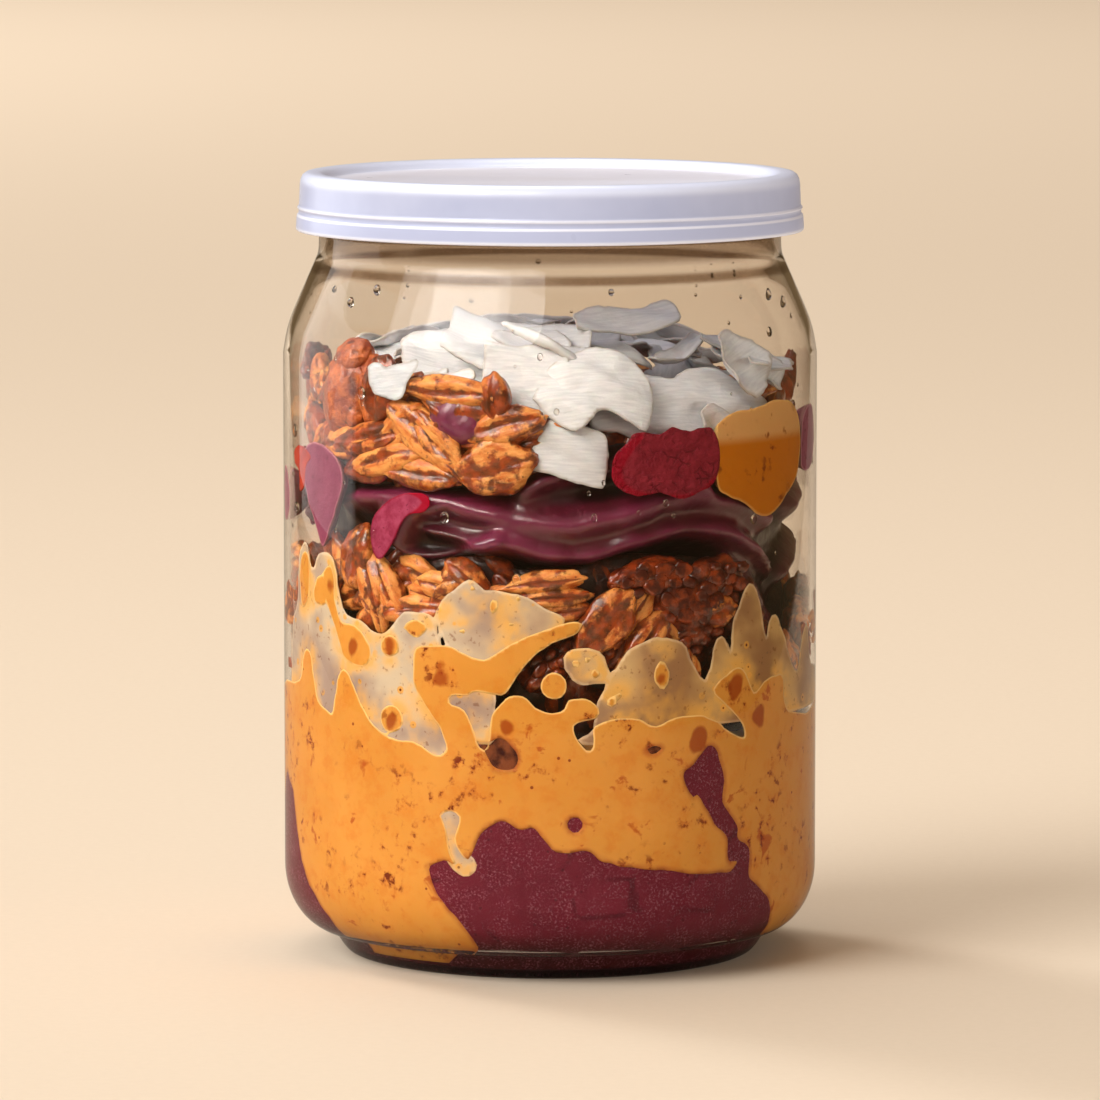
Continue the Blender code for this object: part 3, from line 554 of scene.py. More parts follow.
def outline_distance(corners, scale, x, z):
    """Signed distance in mm to a rounded outline, below 0 inside it."""
    loop = eased(list(corners) + [corners[0]], 3) * scale
    nearest = np.full(np.shape(x), 1e9)
    within = np.zeros(np.shape(x), bool)
    for (x0, z0), (x1, z1) in zip(loop, loop[1:]):
        along_x, along_z = x1 - x0, z1 - z0
        length = along_x * along_x + along_z * along_z
        if length < 1e-9:
            continue
        share = np.clip(((x - x0) * along_x + (z - z0) * along_z) / length, 0.0, 1.0)
        nearest = np.minimum(nearest, (x - x0 - share * along_x) ** 2 + (z - z0 - share * along_z) ** 2)
        if z0 != z1:
            crosses = (z0 > z) != (z1 > z)
            within ^= crosses & (x < x0 + (z - z0) / (z1 - z0) * along_x)
    return np.where(within, -1.0, 1.0) * np.sqrt(nearest)


def inside_of(corners, angles, heights):
    """The same for an outline on the wall, given as angles and heights."""
    return outline_distance(corners, (ARC, 1.0), angles * ARC, heights)


def spot(angle, height, radius, angles, heights, tall=1.0):
    """Signed distance to a round or oval spot on the wall."""
    return np.hypot((angles - angle) * ARC, (heights - height) / tall) - radius


def joined(fields, soft=0.35):
    """Softly joined outlines."""
    return -soft * np.log(sum(np.exp(-np.clip(field, -30.0, 30.0) / soft) for field in fields))


def cut_sheet(values, across, up, closed=False):
    """Cut a grid along the line where its values are 0: its spots, faces and open edges."""
    columns = len(across) - 1
    spots, numbers, faces, edges = [], {}, [], {}

    def number(key, place):
        if closed:
            key = tuple(sorted((column % columns, row) for column, row in key))
        if key not in numbers:
            numbers[key] = len(spots)
            spots.append(place)
        return numbers[key]

    below = values < 0.0
    busy = below[:-1, :-1] | below[1:, :-1] | below[:-1, 1:] | below[1:, 1:]
    for column, row in zip(*np.nonzero(busy)):
        corners = [(column, row), (column + 1, row), (column + 1, row + 1), (column, row + 1)]
        loop = []
        for here, after in zip(corners, corners[1:] + corners[:1]):
            first, second = values[here], values[after]
            if first < 0.0:
                loop.append(number((here,), (across[here[0]], up[here[1]], first)))
            if (first < 0.0) != (second < 0.0):
                share = min(max(first / (first - second), 0.04), 0.96)
                place = (across[here[0]] + share * (across[after[0]] - across[here[0]]),
                         up[here[1]] + share * (up[after[1]] - up[here[1]]), 0.0)
                loop.append(number(tuple(sorted((here, after))), place))
        if len(loop) > 2:
            faces.append(tuple(loop))
            for pair in zip(loop, loop[1:] + loop[:1]):
                if pair[::-1] in edges:
                    del edges[pair[::-1]]
                else:
                    edges[pair] = True
    return np.array(spots), faces, list(edges)


def two_sided(faces, edges, count):
    """Faces of a sheet, of its other side with count points, and of the rim between."""
    both = faces + [tuple(count + point for point in loop[::-1]) for loop in faces]
    return both + [(second, first, count + first, count + second) for first, second in edges]


def smear(name, field, span, rise, paint, depth, out=0.0, step=0.7, soft=1.0, marks=None):
    """Sheet on the jar's wall where field(angle, height) is below 0, depth mm thick inside."""
    closed = span[1] - span[0] >= 360.0
    angle = np.linspace(span[0], span[1], int(round((span[1] - span[0]) * ARC / step)) + 1)
    height = np.linspace(rise[0], rise[1], int(round((rise[1] - rise[0]) / step)) + 1)
    values = field(*np.meshgrid(angle, height, indexing="ij"))
    if closed:
        values[-1] = values[0]
    spots, faces, edges = cut_sheet(values, angle, height, closed)
    inset = -spots[:, 2]
    radius = touch(spots[:, 1]) + out
    thick = 0.12 + depth * (1.0 - np.exp(-inset / soft))
    points = np.concatenate((polar(spots[:, 0], radius, spots[:, 1]),
                             polar(spots[:, 0], radius - thick, spots[:, 1])))
    stored = {"inset": inset}
    for mark, value in (marks or {}).items():
        stored[mark] = value(spots[:, 0], spots[:, 1])
    return add_mesh(name, points, two_sided(faces, edges, len(spots)), paint,
                    {mark: np.tile(value, 2) for mark, value in stored.items()})


rng = random.Random(7)
CREAM_EDGE = [
    (-90, 40), (-84, 41), (-78, 41.5), (-72, 42), (-68.5, 43), (-67.5, 46), (-65.5, 47.5), (-63, 46.5),
    (-62, 43), (-60, 40), (-57, 39), (-54.5, 38.6), (-53.2, 41), (-52.4, 44), (-50.5, 45.4), (-48.4, 44.6),
    (-47, 43), (-44, 40), (-39.5, 37), (-35, 36), (-30, 35.8), (-26, 34.3), (-24, 34), (-22.5, 35.2),
    (-23.5, 37), (-25, 39), (-28, 41.5), (-30, 44), (-30.4, 47), (-29.6, 49.6), (-25, 50.2), (-21, 50),
    (-14.5, 48.2), (-9, 50.5), (-4, 52.2), (0, 53), (4, 54), (7, 53.8), (5, 52), (0, 50.8), (-5, 48),
    (-8, 45.2), (-10.5, 43.2), (-15.5, 43.8), (-18, 43.2), (-21.5, 42.9), (-21.8, 41.8), (-19, 41),
    (-17, 39), (-15.2, 36), (-14, 35.2), (-13, 36.5), (-12.8, 39), (-11.8, 41), (-9, 42.8), (-5.5, 43),
    (-3, 41.4), (0, 40.8), (3, 41.2), (4, 42.7), (8, 42.6), (10.2, 41.4), (9.5, 40), (5.4, 39.2),
    (5.2, 37.8), (6, 36.6), (8, 35), (9.4, 36), (9, 38), (10, 39), (15, 39.7), (19, 39.6), (23, 38.4),
    (27, 39.4), (33, 39.6), (38, 38.5), (42, 36.5), (46, 35.4), (46.8, 36.2), (45, 38), (41, 40.3),
    (38.4, 42), (37.4, 43.2), (40, 44.8), (44, 46.2), (46.5, 45.2), (48.5, 42.8), (50, 42), (53, 43.3),
    (58, 44.2), (60.5, 43.5), (61.4, 40), (64, 38), (70, 37.5), (76, 37), (84, 38.6), (90, 40)]
angle = 94.0
while angle < 258.0:
    broad = rng.random() < 0.4
    tip = rng.uniform(40.0, 44.5) if broad else rng.uniform(42.0, 52.0)
    width = rng.uniform(5.0, 8.0) if broad else rng.uniform(2.0, 3.6)
    lean = rng.uniform(-3.0, 3.0)
    CREAM_EDGE += [(angle, rng.uniform(35.0, 38.5)), (angle + width * 0.6, tip - 3.0),
                   (angle + width * 0.8 + lean, tip - 0.4), (angle + width + lean, tip),
                   (angle + width * 1.4 + lean, tip - 0.8), (angle + width * 2.0, tip - 4.0)]
    angle += width * 2.0 + rng.uniform(3.0, 10.0)
CREAM_ISLANDS = (
    ((-57.5, 59.4), (-55, 60.4), (-53.6, 58.5), (-53.2, 55.5), (-51, 52.4), (-47, 52.2), (-43.6, 50.6),
     (-41.8, 48.6), (-43, 46.6), (-47, 46.2), (-50.5, 47.6), (-52.6, 50.2), (-54.6, 53), (-57, 56)),
    ((-69.5, 58), (-68, 61), (-65, 61.5), (-64, 58), (-65, 54.5), (-68, 53.6)),
    ((-62, 56), (-60.5, 58.4), (-57.6, 58.4), (-56.4, 56), (-57.5, 54.4), (-61, 54.5)),
    ((-33.2, 52.6), (-30, 53.8), (-27, 52.6), (-30, 51.2)),
    ((118, 44), (116, 48), (119, 51), (125, 50.4), (131, 52.6), (138, 53), (139, 51.4), (131, 49.6),
     (125, 46.4), (122, 42.6)),
    ((168, 52), (171, 55), (176, 54.6), (179, 51), (184, 49.6), (183, 47.4), (177, 48), (171, 49.4)),
    ((206, 46), (205, 50), (209, 53.4), (213, 52), (212, 48), (210, 45)),
    ((232, 54), (236, 56.6), (241, 55), (246, 55.8), (248, 53.6), (241, 51.4), (235, 51.4)))
CREAM_SPOTS = [            # angle, height, radius and how much taller than wide
    (-36.5, 49.6, 1.7, 1.0), (-36.0, 38.9, 2.0, 1.0), (0.8, 44.7, 1.95, 1.0), (24.5, 45.6, 1.3, 1.6),
    (5.5, 48.0, 0.55, 1.0), (8.0, 48.5, 0.5, 1.0), (9.6, 46.4, 0.6, 1.0), (13.0, 42.2, 0.6, 1.0),
    (14.8, 43.2, 0.4, 1.0), (-12.0, 56.3, 0.5, 1.8), (-16.5, 58.8, 0.45, 1.0), (-6.6, 57.4, 0.5, 1.0),
    (-8.2, 53.6, 0.45, 1.0), (-19.0, 52.6, 0.5, 1.0), (-23.6, 55.4, 0.5, 1.0)]
BACK_SPOTS = 46
for _ in range(BACK_SPOTS):
    CREAM_SPOTS.append((rng.uniform(92.0, 268.0), rng.uniform(44.0, 58.0),
                        rng.choice((0.5, 0.6, 0.9, 1.6)), rng.uniform(0.8, 1.6)))
ACAI_WINDOWS = (
    ((-27.2, 17.5), (-23, 18.6), (-20, 17.6), (-17.5, 19), (-15, 22.6), (-12.5, 24.3), (-9.5, 24.6),
     (-6, 23.6), (-3.4, 23.9), (0, 21), (4, 20.2), (8, 20.4), (12, 18.6), (20, 17.6), (30, 16.5),
     (36, 15.9), (42, 16), (44.6, 17.5), (46.4, 19.3), (48, 18.6), (47.6, 15), (50, 13.4), (54, 11.5),
     (57, 9.3), (59.5, 6.6), (64, 4.8), (90, 4.4), (90, -4), (-25, -4), (-25, 3.9), (-17, 5.2),
     (-18, 7.4), (-20, 9.6), (-22.4, 11.6), (-24.8, 13.6)),
    ((30.2, 29.2), (29.8, 31.2), (32.6, 32.6), (35.6, 35), (38, 34.6), (39.4, 32.4), (40.4, 29.4),
     (40, 26.4), (42, 24.4), (44.6, 22.6), (44.4, 20.6), (46.8, 19.6), (45.6, 18), (42, 17.4),
     (41.4, 19.6), (41.2, 21), (38.4, 23), (35.4, 25.8), (33.4, 28), (31.8, 27.6)),
    ((-92, 19), (-86, 24), (-82, 27.4), (-78, 26.8), (-75, 25.2), (-72.5, 21), (-70, 17), (-66, 13),
     (-61, 9.6), (-58, 6), (-58, -4), (-92, -4)),
    ((-13.6, 34.5), (-12.6, 36.6), (-10, 36.9), (-7.4, 35), (-7.2, 33.2), (-9.4, 32.4), (-12.4, 32.8)),
    ((20.6, 34.8), (22.4, 35.6), (24.4, 35.2), (22.6, 34.4)),
    ((-18.4, 19.4), (-16.6, 18.6), (-14.4, 16.6), (-9.4, 15.6), (-9.4, 14.4), (-13, 14.6), (-17.4, 16.8)))
PALE_WINDOW = (
    (-24, 25.4), (-21.6, 26), (-19.6, 25.2), (-20, 23.6), (-20.8, 21.8), (-19.4, 19.8), (-17.2, 18.2),
    (-18.4, 17.4), (-20.8, 18.6), (-22, 20.4), (-22.6, 23))


def folded(angles):
    """The same angle, from -90 to 270."""
    return np.mod(angles + 90.0, 360.0) - 90.0


def wobble(angles, heights, size, seed):
    return ruffle(polar(angles, BODY_RADIUS, heights), size, seed)


def ragged(corners, amount, size, seed):
    """Field of an outline on the wall with an uneven edge."""
    return lambda angles, heights: (inside_of(corners, angles, heights)
                                    + amount * wobble(angles, heights, size, seed))


ELSEWHERE = 99.0           # keeps a field out of the part of the wall where it isn't meant


def window_field(angles, heights):
    """Signed distance to where the acai shows through the cream."""
    turned_to = folded(angles)
    fields = [inside_of(corners, turned_to, heights) for corners in ACAI_WINDOWS]
    fields.append(spot(5.2, 24.2, 1.1, turned_to, heights))
    behind = (heights - acai_base_wall(angles) + 2.0) * 0.75 + ELSEWHERE * (turned_to < 91.0)
    field = np.minimum.reduce(fields + [behind])
    return field + 0.28 * wobble(angles, heights, 1.6, 3)


def cream_outline(angles, heights):
    turned_to = folded(angles)
    below = CREAM_EDGE + [(270, 40), (290, 40), (290, -20), (-110, -20), (-110, 40)]
    fields = [inside_of(below, turned_to, heights)]
    fields += [inside_of(corners, turned_to, heights) for corners in CREAM_ISLANDS]
    fields += [spot(*place[:3], turned_to, heights, place[3]) for place in CREAM_SPOTS]
    body = (joined(fields) + 0.22 * wobble(angles, heights, 2.2, 5)
            + 0.1 * wobble(angles, heights, 0.9, 6))
    return np.maximum(body, -inside_of(PALE_WINDOW, turned_to, heights))


def cream_field(angles, heights):
    return np.maximum(cream_outline(angles, heights), -window_field(angles, heights))


cream = Paint("orange_cream", {"Specular IOR Level": 0.10, "Subsurface Weight": 0.12,
                               "Subsurface Scale": 0.0015})
cream_patch = cream.noise(9.0, 3.0).step(0.46, 0.62)
cream_lump = cream.noise(1.9, 4.0, 0.6, 0.2)
cream_speck = cream_lump.step(0.60, 0.66) * cream_patch
cream_dot = cream.cells(3.4).step(0.085, 0.06) * cream.noise(5.0, 1.0).step(0.45, 0.55)
cream.ground(cream.noise(14.0, 3.0), (200, 130, 44), (222, 156, 74))
cream.over(cream.noise(3.0, 4.0, 0.6).step(0.45, 0.7) * 0.35, (200, 106, 20))
cream.over(cream_lump.step(0.52, 0.63) * cream_patch * 0.5, (170, 76, 22))
cream.over(cream.noise(4.2, 4.0, 0.6, 0.5).step(0.63, 0.70) * 0.75, (168, 70, 22))
cream.over(cream_speck * 0.95, (112, 40, 14))
cream.over(cream_dot * 0.85, (120, 36, 20))
cream.over(cream.mark("bleed").step(0.9, 0.0) * cream.noise(2.0, 3.0), (150, 56, 36))
cream.over(cream.mark("centre").step(0.35, -0.25) * 0.85, (150, 62, 18))
cream.over(cream.mark("rim").step(0.32, 0.08) * 0.7, (238, 196, 124))
cream.show()
cream.feed("Roughness", cream.noise(4.0, 3.0) * 0.2 + 0.34)
cream.emboss(cream.noise(1.4, 3.0) * 0.4 - cream_speck * 0.6, 0.10)

CREAM_HEARTS = (
    (-36.0, 38.9, 0.9), (-47.2, 48.9, 1.0), (-55.4, 57.6, 0.9), (-36.5, 49.6, 0.8), (24.5, 45.6, 0.5),
    (43.6, 43.4, 1.4), (-24.0, 45.8, 1.1), (51.0, 38.6, 1.2), (33.5, 36.4, 1.6), (-9.5, 39.0, 0.9))


def hearts(angles, heights):
    """Signed distance to the dark bits in the middle of the cream's spots."""
    near = [spot(*place, folded(angles), heights, 1.3) for place in CREAM_HEARTS]
    return np.minimum.reduce(near) + 0.6 * wobble(angles, heights, 1.6, 8)


cream_skin = smear("cream_skin", cream_field, (-180.0, 180.0), (2.2, 61.8), cream, 1.5, step=0.62,
                   marks={"rim": lambda angles, heights: -cream_outline(angles, heights),
                          "bleed": window_field, "centre": hearts})
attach(cream_skin, "root")
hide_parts("cream", "cream_hook", "cream_streak")

CREAM_LEVEL = 36.6


def cream_over(angles, share):
    spots = polar(angles, share * BODY_RADIUS, 36.0)
    return CREAM_LEVEL + 0.9 * ruffle(spots, 7.0, 2) - 1.6 * smooth(0.8, 1.0, share)


cream_bulk = layered("cream_bulk", lambda angles, share: acai_base_over(angles, share) + 0.3,
                     cream_over, lambda angles, height: touch(height) - 1.0, cream,
                     sides=180, rows=16)
FAR_OFF = 9.0              # the bulk has none of the skin's rims and stains
for mark in ("rim", "bleed", "centre"):
    store(cream_bulk.data, mark, np.full(len(cream_bulk.data.vertices), FAR_OFF))
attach(cream_bulk, "root")

acai_patch = smear("acai_streaks", lambda angles, heights: window_field(angles, heights) - 1.4,
                   (-34.0, 54.0), (12.0, 40.0), frozen, 1.2, out=-0.08)
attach(acai_patch, "root")


# ------------------------------------------------------------------ the film
# Thinned cream and juice dried on the wall above the cream: a cloudy skin a few tenths
# of a millimetre thick, with darker rims where it ends, that half hides the granola.

FILM_PATCHES = (
    ((-24.5, 55.5), (-22, 58), (-17, 60), (-14, 58.5), (-11, 58.6), (-5, 58), (-1, 56), (3, 54.6),
     (0, 51), (-6, 49), (-10, 48), (-16, 47.5), (-20, 48), (-24, 53)),
    ((-76, 40), (-75, 50), (-71, 54), (-70, 60), (-66, 63.5), (-62.6, 59.6), (-59, 62), (-54, 61.6),
     (-51, 54.4), (-45, 53), (-39, 51), (-36, 52.6), (-33, 55), (-26, 54.6), (-24.6, 51), (-22, 49),
     (-12, 45), (-12, 38), (-14, 32), (-40, 32), (-76, 34)),
    ((9, 38), (9.6, 41), (12, 45), (15, 48), (19, 50.6), (24, 51.4), (29, 50.6), (32, 47.6), (34.6, 44.6),
     (36, 46), (38, 50), (40, 50.8), (42, 48.5), (43, 52), (45, 56), (47.5, 58.4), (50, 57.6), (52, 54),
     (53.6, 50), (55, 52.6), (58, 53), (60.5, 50), (64, 46), (68, 44), (71, 49), (75, 50), (78, 44),
     (92, 42), (92, 34), (9, 34)),
    ((2.6, 47.4), (4, 49.6), (8, 50.2), (11.6, 48.8), (12.4, 45.4), (9, 44.6), (5, 45.2)))
FILM_BACK = around(*[(angle, rng.uniform(40.0, 57.0)) for angle in range(96, 268, 7)],
                   (86, 42), (-86, 42), (0, 0))


def film_field(angles, heights):
    turned_to = folded(angles)
    fields = [inside_of(corners, turned_to, heights) for corners in FILM_PATCHES]
    fields.append((heights - FILM_BACK(angles)) * 0.8 + ELSEWHERE * (turned_to < 88.0))
    field = (joined(fields) + 0.35 * wobble(angles, heights, 2.4, 11)
             + 0.15 * wobble(angles, heights, 0.9, 12))
    lowest = 33.0 + 3.0 * smooth(-21.0, -17.0, turned_to) + 2.0 * smooth(22.0, 30.0, turned_to)
    free = np.maximum(field, lowest - heights)
    return np.minimum(free, inside_of(PALE_WINDOW, turned_to, heights) - 1.0)


film = Paint("cream_film", {"Roughness": 0.45, "Specular IOR Level": 0.08})
film_tone = film.noise(10.0, 3.0, 0.45)
film_yolk = film.mark("near").step(3.2, 0.3) * film.noise(5.0, 3.0).step(0.38, 0.60)
film_line = film.mark("inset").step(0.50, 0.12)
film_cell = film.cells(2.9)
film_patch = film.noise(7.0, 1.0).step(0.42, 0.49)
film.ground(film_tone.step(0.36, 0.64), (184, 158, 140), (214, 194, 162))
film.over(film.along(0).step(-22.0, 24.0), (178, 130, 84), (212, 168, 104), film_tone.step(0.36, 0.64))
film.over(film_yolk * 0.85, (226, 166, 78))
film.over(film_cell.step(0.22, 0.18) * film_patch * 0.9, (232, 168, 80))
film.over(film_cell.step(0.09, 0.06) * film_patch, (120, 46, 14))
film.over(film.noise(0.9, 3.0).step(0.62, 0.70) * 0.5, (128, 72, 40))
film.over(film_line * 0.3, (222, 200, 164))
film.show()
film.feed("Alpha", film_tone.step(0.32, 0.62) * 0.26 + film_yolk * 0.18 + film_line * 0.2 + 0.62)
film_skin = smear("cream_film", film_field, (-180.0, 180.0), (15.0, 65.0), film, 0.14, out=-0.04,
                  step=0.8, marks={"near": cream_outline})
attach(film_skin, "root")


# ----------------------------------------------------------- holes in the cream
# Two gaps where the cream missed the wall. A dark sheet lies in each: painted shade for the air pocket
# there.

# Painted shade for the air pockets.
pocket_shade = Paint("painted_pocket_shade", {"Specular IOR Level": 0.1, "Roughness": 0.4})
pocket_shade.ground(pocket_shade.noise(2.2, 3.0).step(0.35, 0.65), (52, 20, 12), (122, 66, 38))
pocket_shade.show()
pocket_shade_sheets = smear("pocket_shade_sheets", lambda angles, heights: np.minimum(
    inside_of(ACAI_WINDOWS[3], angles, heights), inside_of(ACAI_WINDOWS[4], angles, heights)) - 1.2,
    (-20.0, 30.0), (29.0, 41.0), pocket_shade, 1.0, out=-0.05)
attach(pocket_shade_sheets, "root")


# ---------------------------------------------------------- the middle granola
# Baked oat clusters in a dark syrup glaze: creased oat flakes and lumps of oats stuck
# together, each a closed mesh at true size, pressed flat where it meets the wall. They
# lie round a core of syrup and crumbs that closes the gaps between them, painted near black as their shade.


def ball(across, up):
    """Points and faces of a unit ball with its poles on the x axis."""
    turns = np.arange(across) * 2.0 * math.pi / across
    tilts = np.arange(1, up) * math.pi / up
    points = [np.stack((np.full(across, math.cos(tilt)), math.sin(tilt) * np.cos(turns),
                        math.sin(tilt) * np.sin(turns)), -1) for tilt in tilts]
    return np.concatenate(points + [[(1.0, 0, 0), (-1.0, 0, 0)]]), closed_faces(up - 1, across)


def oat_shape(size, seed, fine=1.0):
    """Puffed oat: a plump pointed flake with a deep crease along it, a little curled."""
    points, faces = ball(int(20 * fine), int(13 * fine))
    x, y, z = points.T
    edge = 1.0 + 0.12 * ruffle(points, 0.42, seed) + 0.06 * ruffle(points, 0.2, seed + 9)
    crease = np.exp(-((y + 0.07 * np.sin(3.0 * x + seed)) / 0.12) ** 2) * (1.0 - x * x)
    lobes = 1.0 + 0.14 * ruffle(points, 0.6, seed + 3)
    high = np.sign(z) * np.abs(z) ** 0.85 * lobes
    high = high - 0.6 * crease * np.clip(z, 0.0, 1.0) + 0.22 * crease * np.clip(-z, 0.0, 1.0)
    high = high + 0.24 * np.cos(seed) * (x * x - 0.4) + 0.16 * ruffle(points, 0.4, seed + 5)
    high = high + 0.07 * ruffle(points, 0.15, seed + 6)
    shaped = np.stack((x * edge, y * edge * (1.0 - 0.28 * x * x), high), -1) * (np.array(size) / 2.0)
    return shaped, faces, crease + np.clip(0.3 - 1.6 * np.abs(z), 0.0, 1.0)


def lump_shape(size, seed, fine=1.0):
    """Crumb of baked oats: a ball with facets, pits and bumps."""
    points, faces = ball(int(18 * fine), int(12 * fine))
    swell = (1.0 + 0.20 * ruffle(points, 0.75, seed) + 0.12 * ruffle(points, 0.36, seed + 1)
             + 0.06 * ruffle(points, 0.18, seed + 2) + 0.03 * ruffle(points, 0.09, seed + 3))
    shaped = points * swell[:, None] * (np.array(size) / 2.0)
    return shaped, faces, np.clip(1.15 - swell, 0.0, 1.0) * 2.0


def turned_by(axis, degrees):
    return Matrix.Rotation(math.radians(degrees), 4, axis)


def set_at(angle, radius, height):
    return Matrix.Translation(Vector(polar(angle, radius, height).tolist()))


def on_wall(angle, height, depth, spin, lean=0.0, heading=None):
    """Place of a grain that lies against the wall, depth mm in from it."""
    facing = angle if heading is None else heading
    return (set_at(angle, wall(height) - depth, height) @ turned_by("Z", facing)
            @ turned_by("X", 90.0 - lean) @ turned_by("Z", spin))


def kept_in(points, pressed):
    """Points that would leave the jar, moved back to just inside its wall, pressed mm deep."""
    radius = np.hypot(points[:, 0], points[:, 1])
    points[:, :2] *= np.minimum(1.0, (wall(points[:, 2]) + pressed) / radius)[:, None]
    return points


class Heap:
    """Small closed bodies gathered into one mesh."""

    def __init__(self):
        self.points, self.faces, self.marks, self.total = [], [], {}, 0

    def gather(self, points, faces, marks):
        self.points.append(points)
        self.faces += [tuple(self.total + corner for corner in face) for face in faces]
        self.total += len(points)
        for mark, values in marks.items():
            self.marks.setdefault(mark, []).append(values)

    def add(self, shape, turn, tone):
        """Turn a grain and set it in place, pushed back where it would leave the jar."""
        points, faces, crease = shape
        placed = points @ np.array(turn.to_3x3()).T + np.array(turn.translation)
        self.gather(kept_in(placed, 0.03), faces,
                    {"tone": np.full(len(points), tone), "across": points[:, 1],
                     "along": points[:, 0], "crease": crease})

    def grain(self, kind, angle, height, depth, spin, lean, size, tone=None, fine=1.0):
        """Lay an oat or a nugget against the wall."""
        self.put(kind, on_wall(angle, height, depth, spin, lean), size, tone, fine)

    def put(self, kind, turn, size, tone=None, fine=1.0):
        tone = grains.random() if tone is None else tone
        seed = grains.random() * 90.0
        if kind == "oat":
            self.add(oat_shape(size, seed, fine), turn, tone)
            return
        if kind == "crust":
            self.add(lump_shape(size, seed, 2.0), turn, tone)
            for extra in range(STUCK_LUMPS):
                heading = math.radians(GOLDEN_TURN * extra)
                out = 0.42 * math.sqrt((extra + 0.5) / STUCK_LUMPS)
                reach = np.array((out * math.cos(heading), out * math.sin(heading), 0.42 - 0.6 * out * out))
                side = draw(1.5, 2.6)
                stuck = turn @ Matrix.Translation(Vector((reach * np.array(size)).tolist()))
                self.add(lump_shape((side * 1.3, side, side), seed + extra + 3.0), stuck, tone)
            return
        self.add(lump_shape([side * 0.86 for side in size], seed, fine), turn, tone)
        for _ in range(2):
            heading = draw(0.0, 360.0)
            reach = np.array((math.cos(math.radians(heading)), math.sin(math.radians(heading)), 0.75))
            stuck = (turn @ Matrix.Translation(Vector((reach * np.array(size) * 0.27).tolist()))
                     @ turned_by("Z", draw(0.0, 360.0)) @ turned_by("X", draw(-35.0, 35.0)))
            part = draw(0.7, 0.9)
            self.add(oat_shape((size[0] * part, size[1] * part * 0.85, size[2] * 0.5), seed + 7.0, fine),
                     stuck, min(1.0, max(0.0, tone + draw(-0.25, 0.25))))

    def build(self, name, paint):
        marks = {mark: np.concatenate(values) for mark, values in self.marks.items()}
        return add_mesh(name, np.concatenate(self.points), self.faces, paint, marks)


GOLDEN_TURN = 137.5        # degrees between bodies that are spread evenly over a disc
STUCK_LUMPS = 9            # small lumps on each crusty one


def any_grain(oats, long, wide, high):
    """Draw the kind and size of a grain: an oat by that share, or else a nugget."""
    if grains.random() < oats:
        return "oat", (draw(*long), draw(*wide), draw(*high))
    return "nugget", (draw(8, 12), draw(6, 8), 5.0)


def either(oats):
    return "oat" if grains.random() < oats else "nugget"


grains = random.Random(11)
draw = grains.uniform
toast = Paint("baked_granola", {"Specular IOR Level": 0.35, "Coat Roughness": 0.07, "Coat IOR": 1.5,
                                "Subsurface Weight": 0.08, "Subsurface Scale": 0.0008})
toast_tone = toast.mark("tone")
toast_streak = toast.streaks(toast.mark("across") * 1.5, toast.mark("along") * 0.4, toast_tone * 40.0)
toast_wet = (toast.noise(2.6, 5.0, 0.6) + toast.mark("crease") * 0.46 + toast_tone * 0.22).step(0.53, 0.66)
toast.ground(toast_streak.step(0.2, 0.7), (196, 92, 28), (232, 158, 82))
toast.over(toast_tone.step(0.3, 1.0) * 0.5, (184, 78, 18))
toast.over(toast_wet * 0.90, (52, 12, 4), (150, 54, 10), toast.noise(1.6, 3.0).step(0.3, 0.7))
# Tones above 0.9 darken: the crusts' own darker bake, and painted shade on the grains set behind the others.
toast.over(toast_tone.step(0.9, 1.15) * 0.9, (64, 18, 6), (140, 56, 20),
           toast.noise(1.8, 4.0, 0.6).step(0.4, 0.65))
toast.over(toast.noise(0.7, 2.0).step(0.66, 0.72) * 0.6, (70, 22, 8))
toast.show()
toast.feed("Roughness", toast_wet * -0.20 + 0.48)
toast.feed("Coat Weight", toast_wet * 0.55 + 0.3)
toast.emboss(toast_streak * 0.15 + toast.noise(1.0, 5.0, 0.6) * 0.8, 0.30)

swirl_under_wall = around(
    (-160, 59), (-120, 61), (-90, 62), (-66, 63.5), (-50, 65.5), (-41, 64), (-33, 61.8), (-20, 63),
    (-8, 61.2), (5, 61.6), (20, 63.4), (36, 62.6), (45, 60), (53, 56), (60, 50.5), (70, 47),
    (80, 52), (95, 58), (125, 57), (150, 60))
swirl_over_wall = around(
    (-160, 72), (-120, 75), (-90, 72), (-66, 73), (-48, 72.6), (-30, 73), (-14, 73), (-2, 76.5),
    (12, 78), (28, 78), (42, 72.6), (70, 70.8), (84, 73), (110, 75), (145, 71))
heap_over_wall = around(
    (-160, 83), (-110, 85), (-70, 86), (-50, 86), (-22, 86.5), (-8, 82.5), (8, 82), (20, 82.5),
    (60, 82.5), (90, 84), (140, 82))

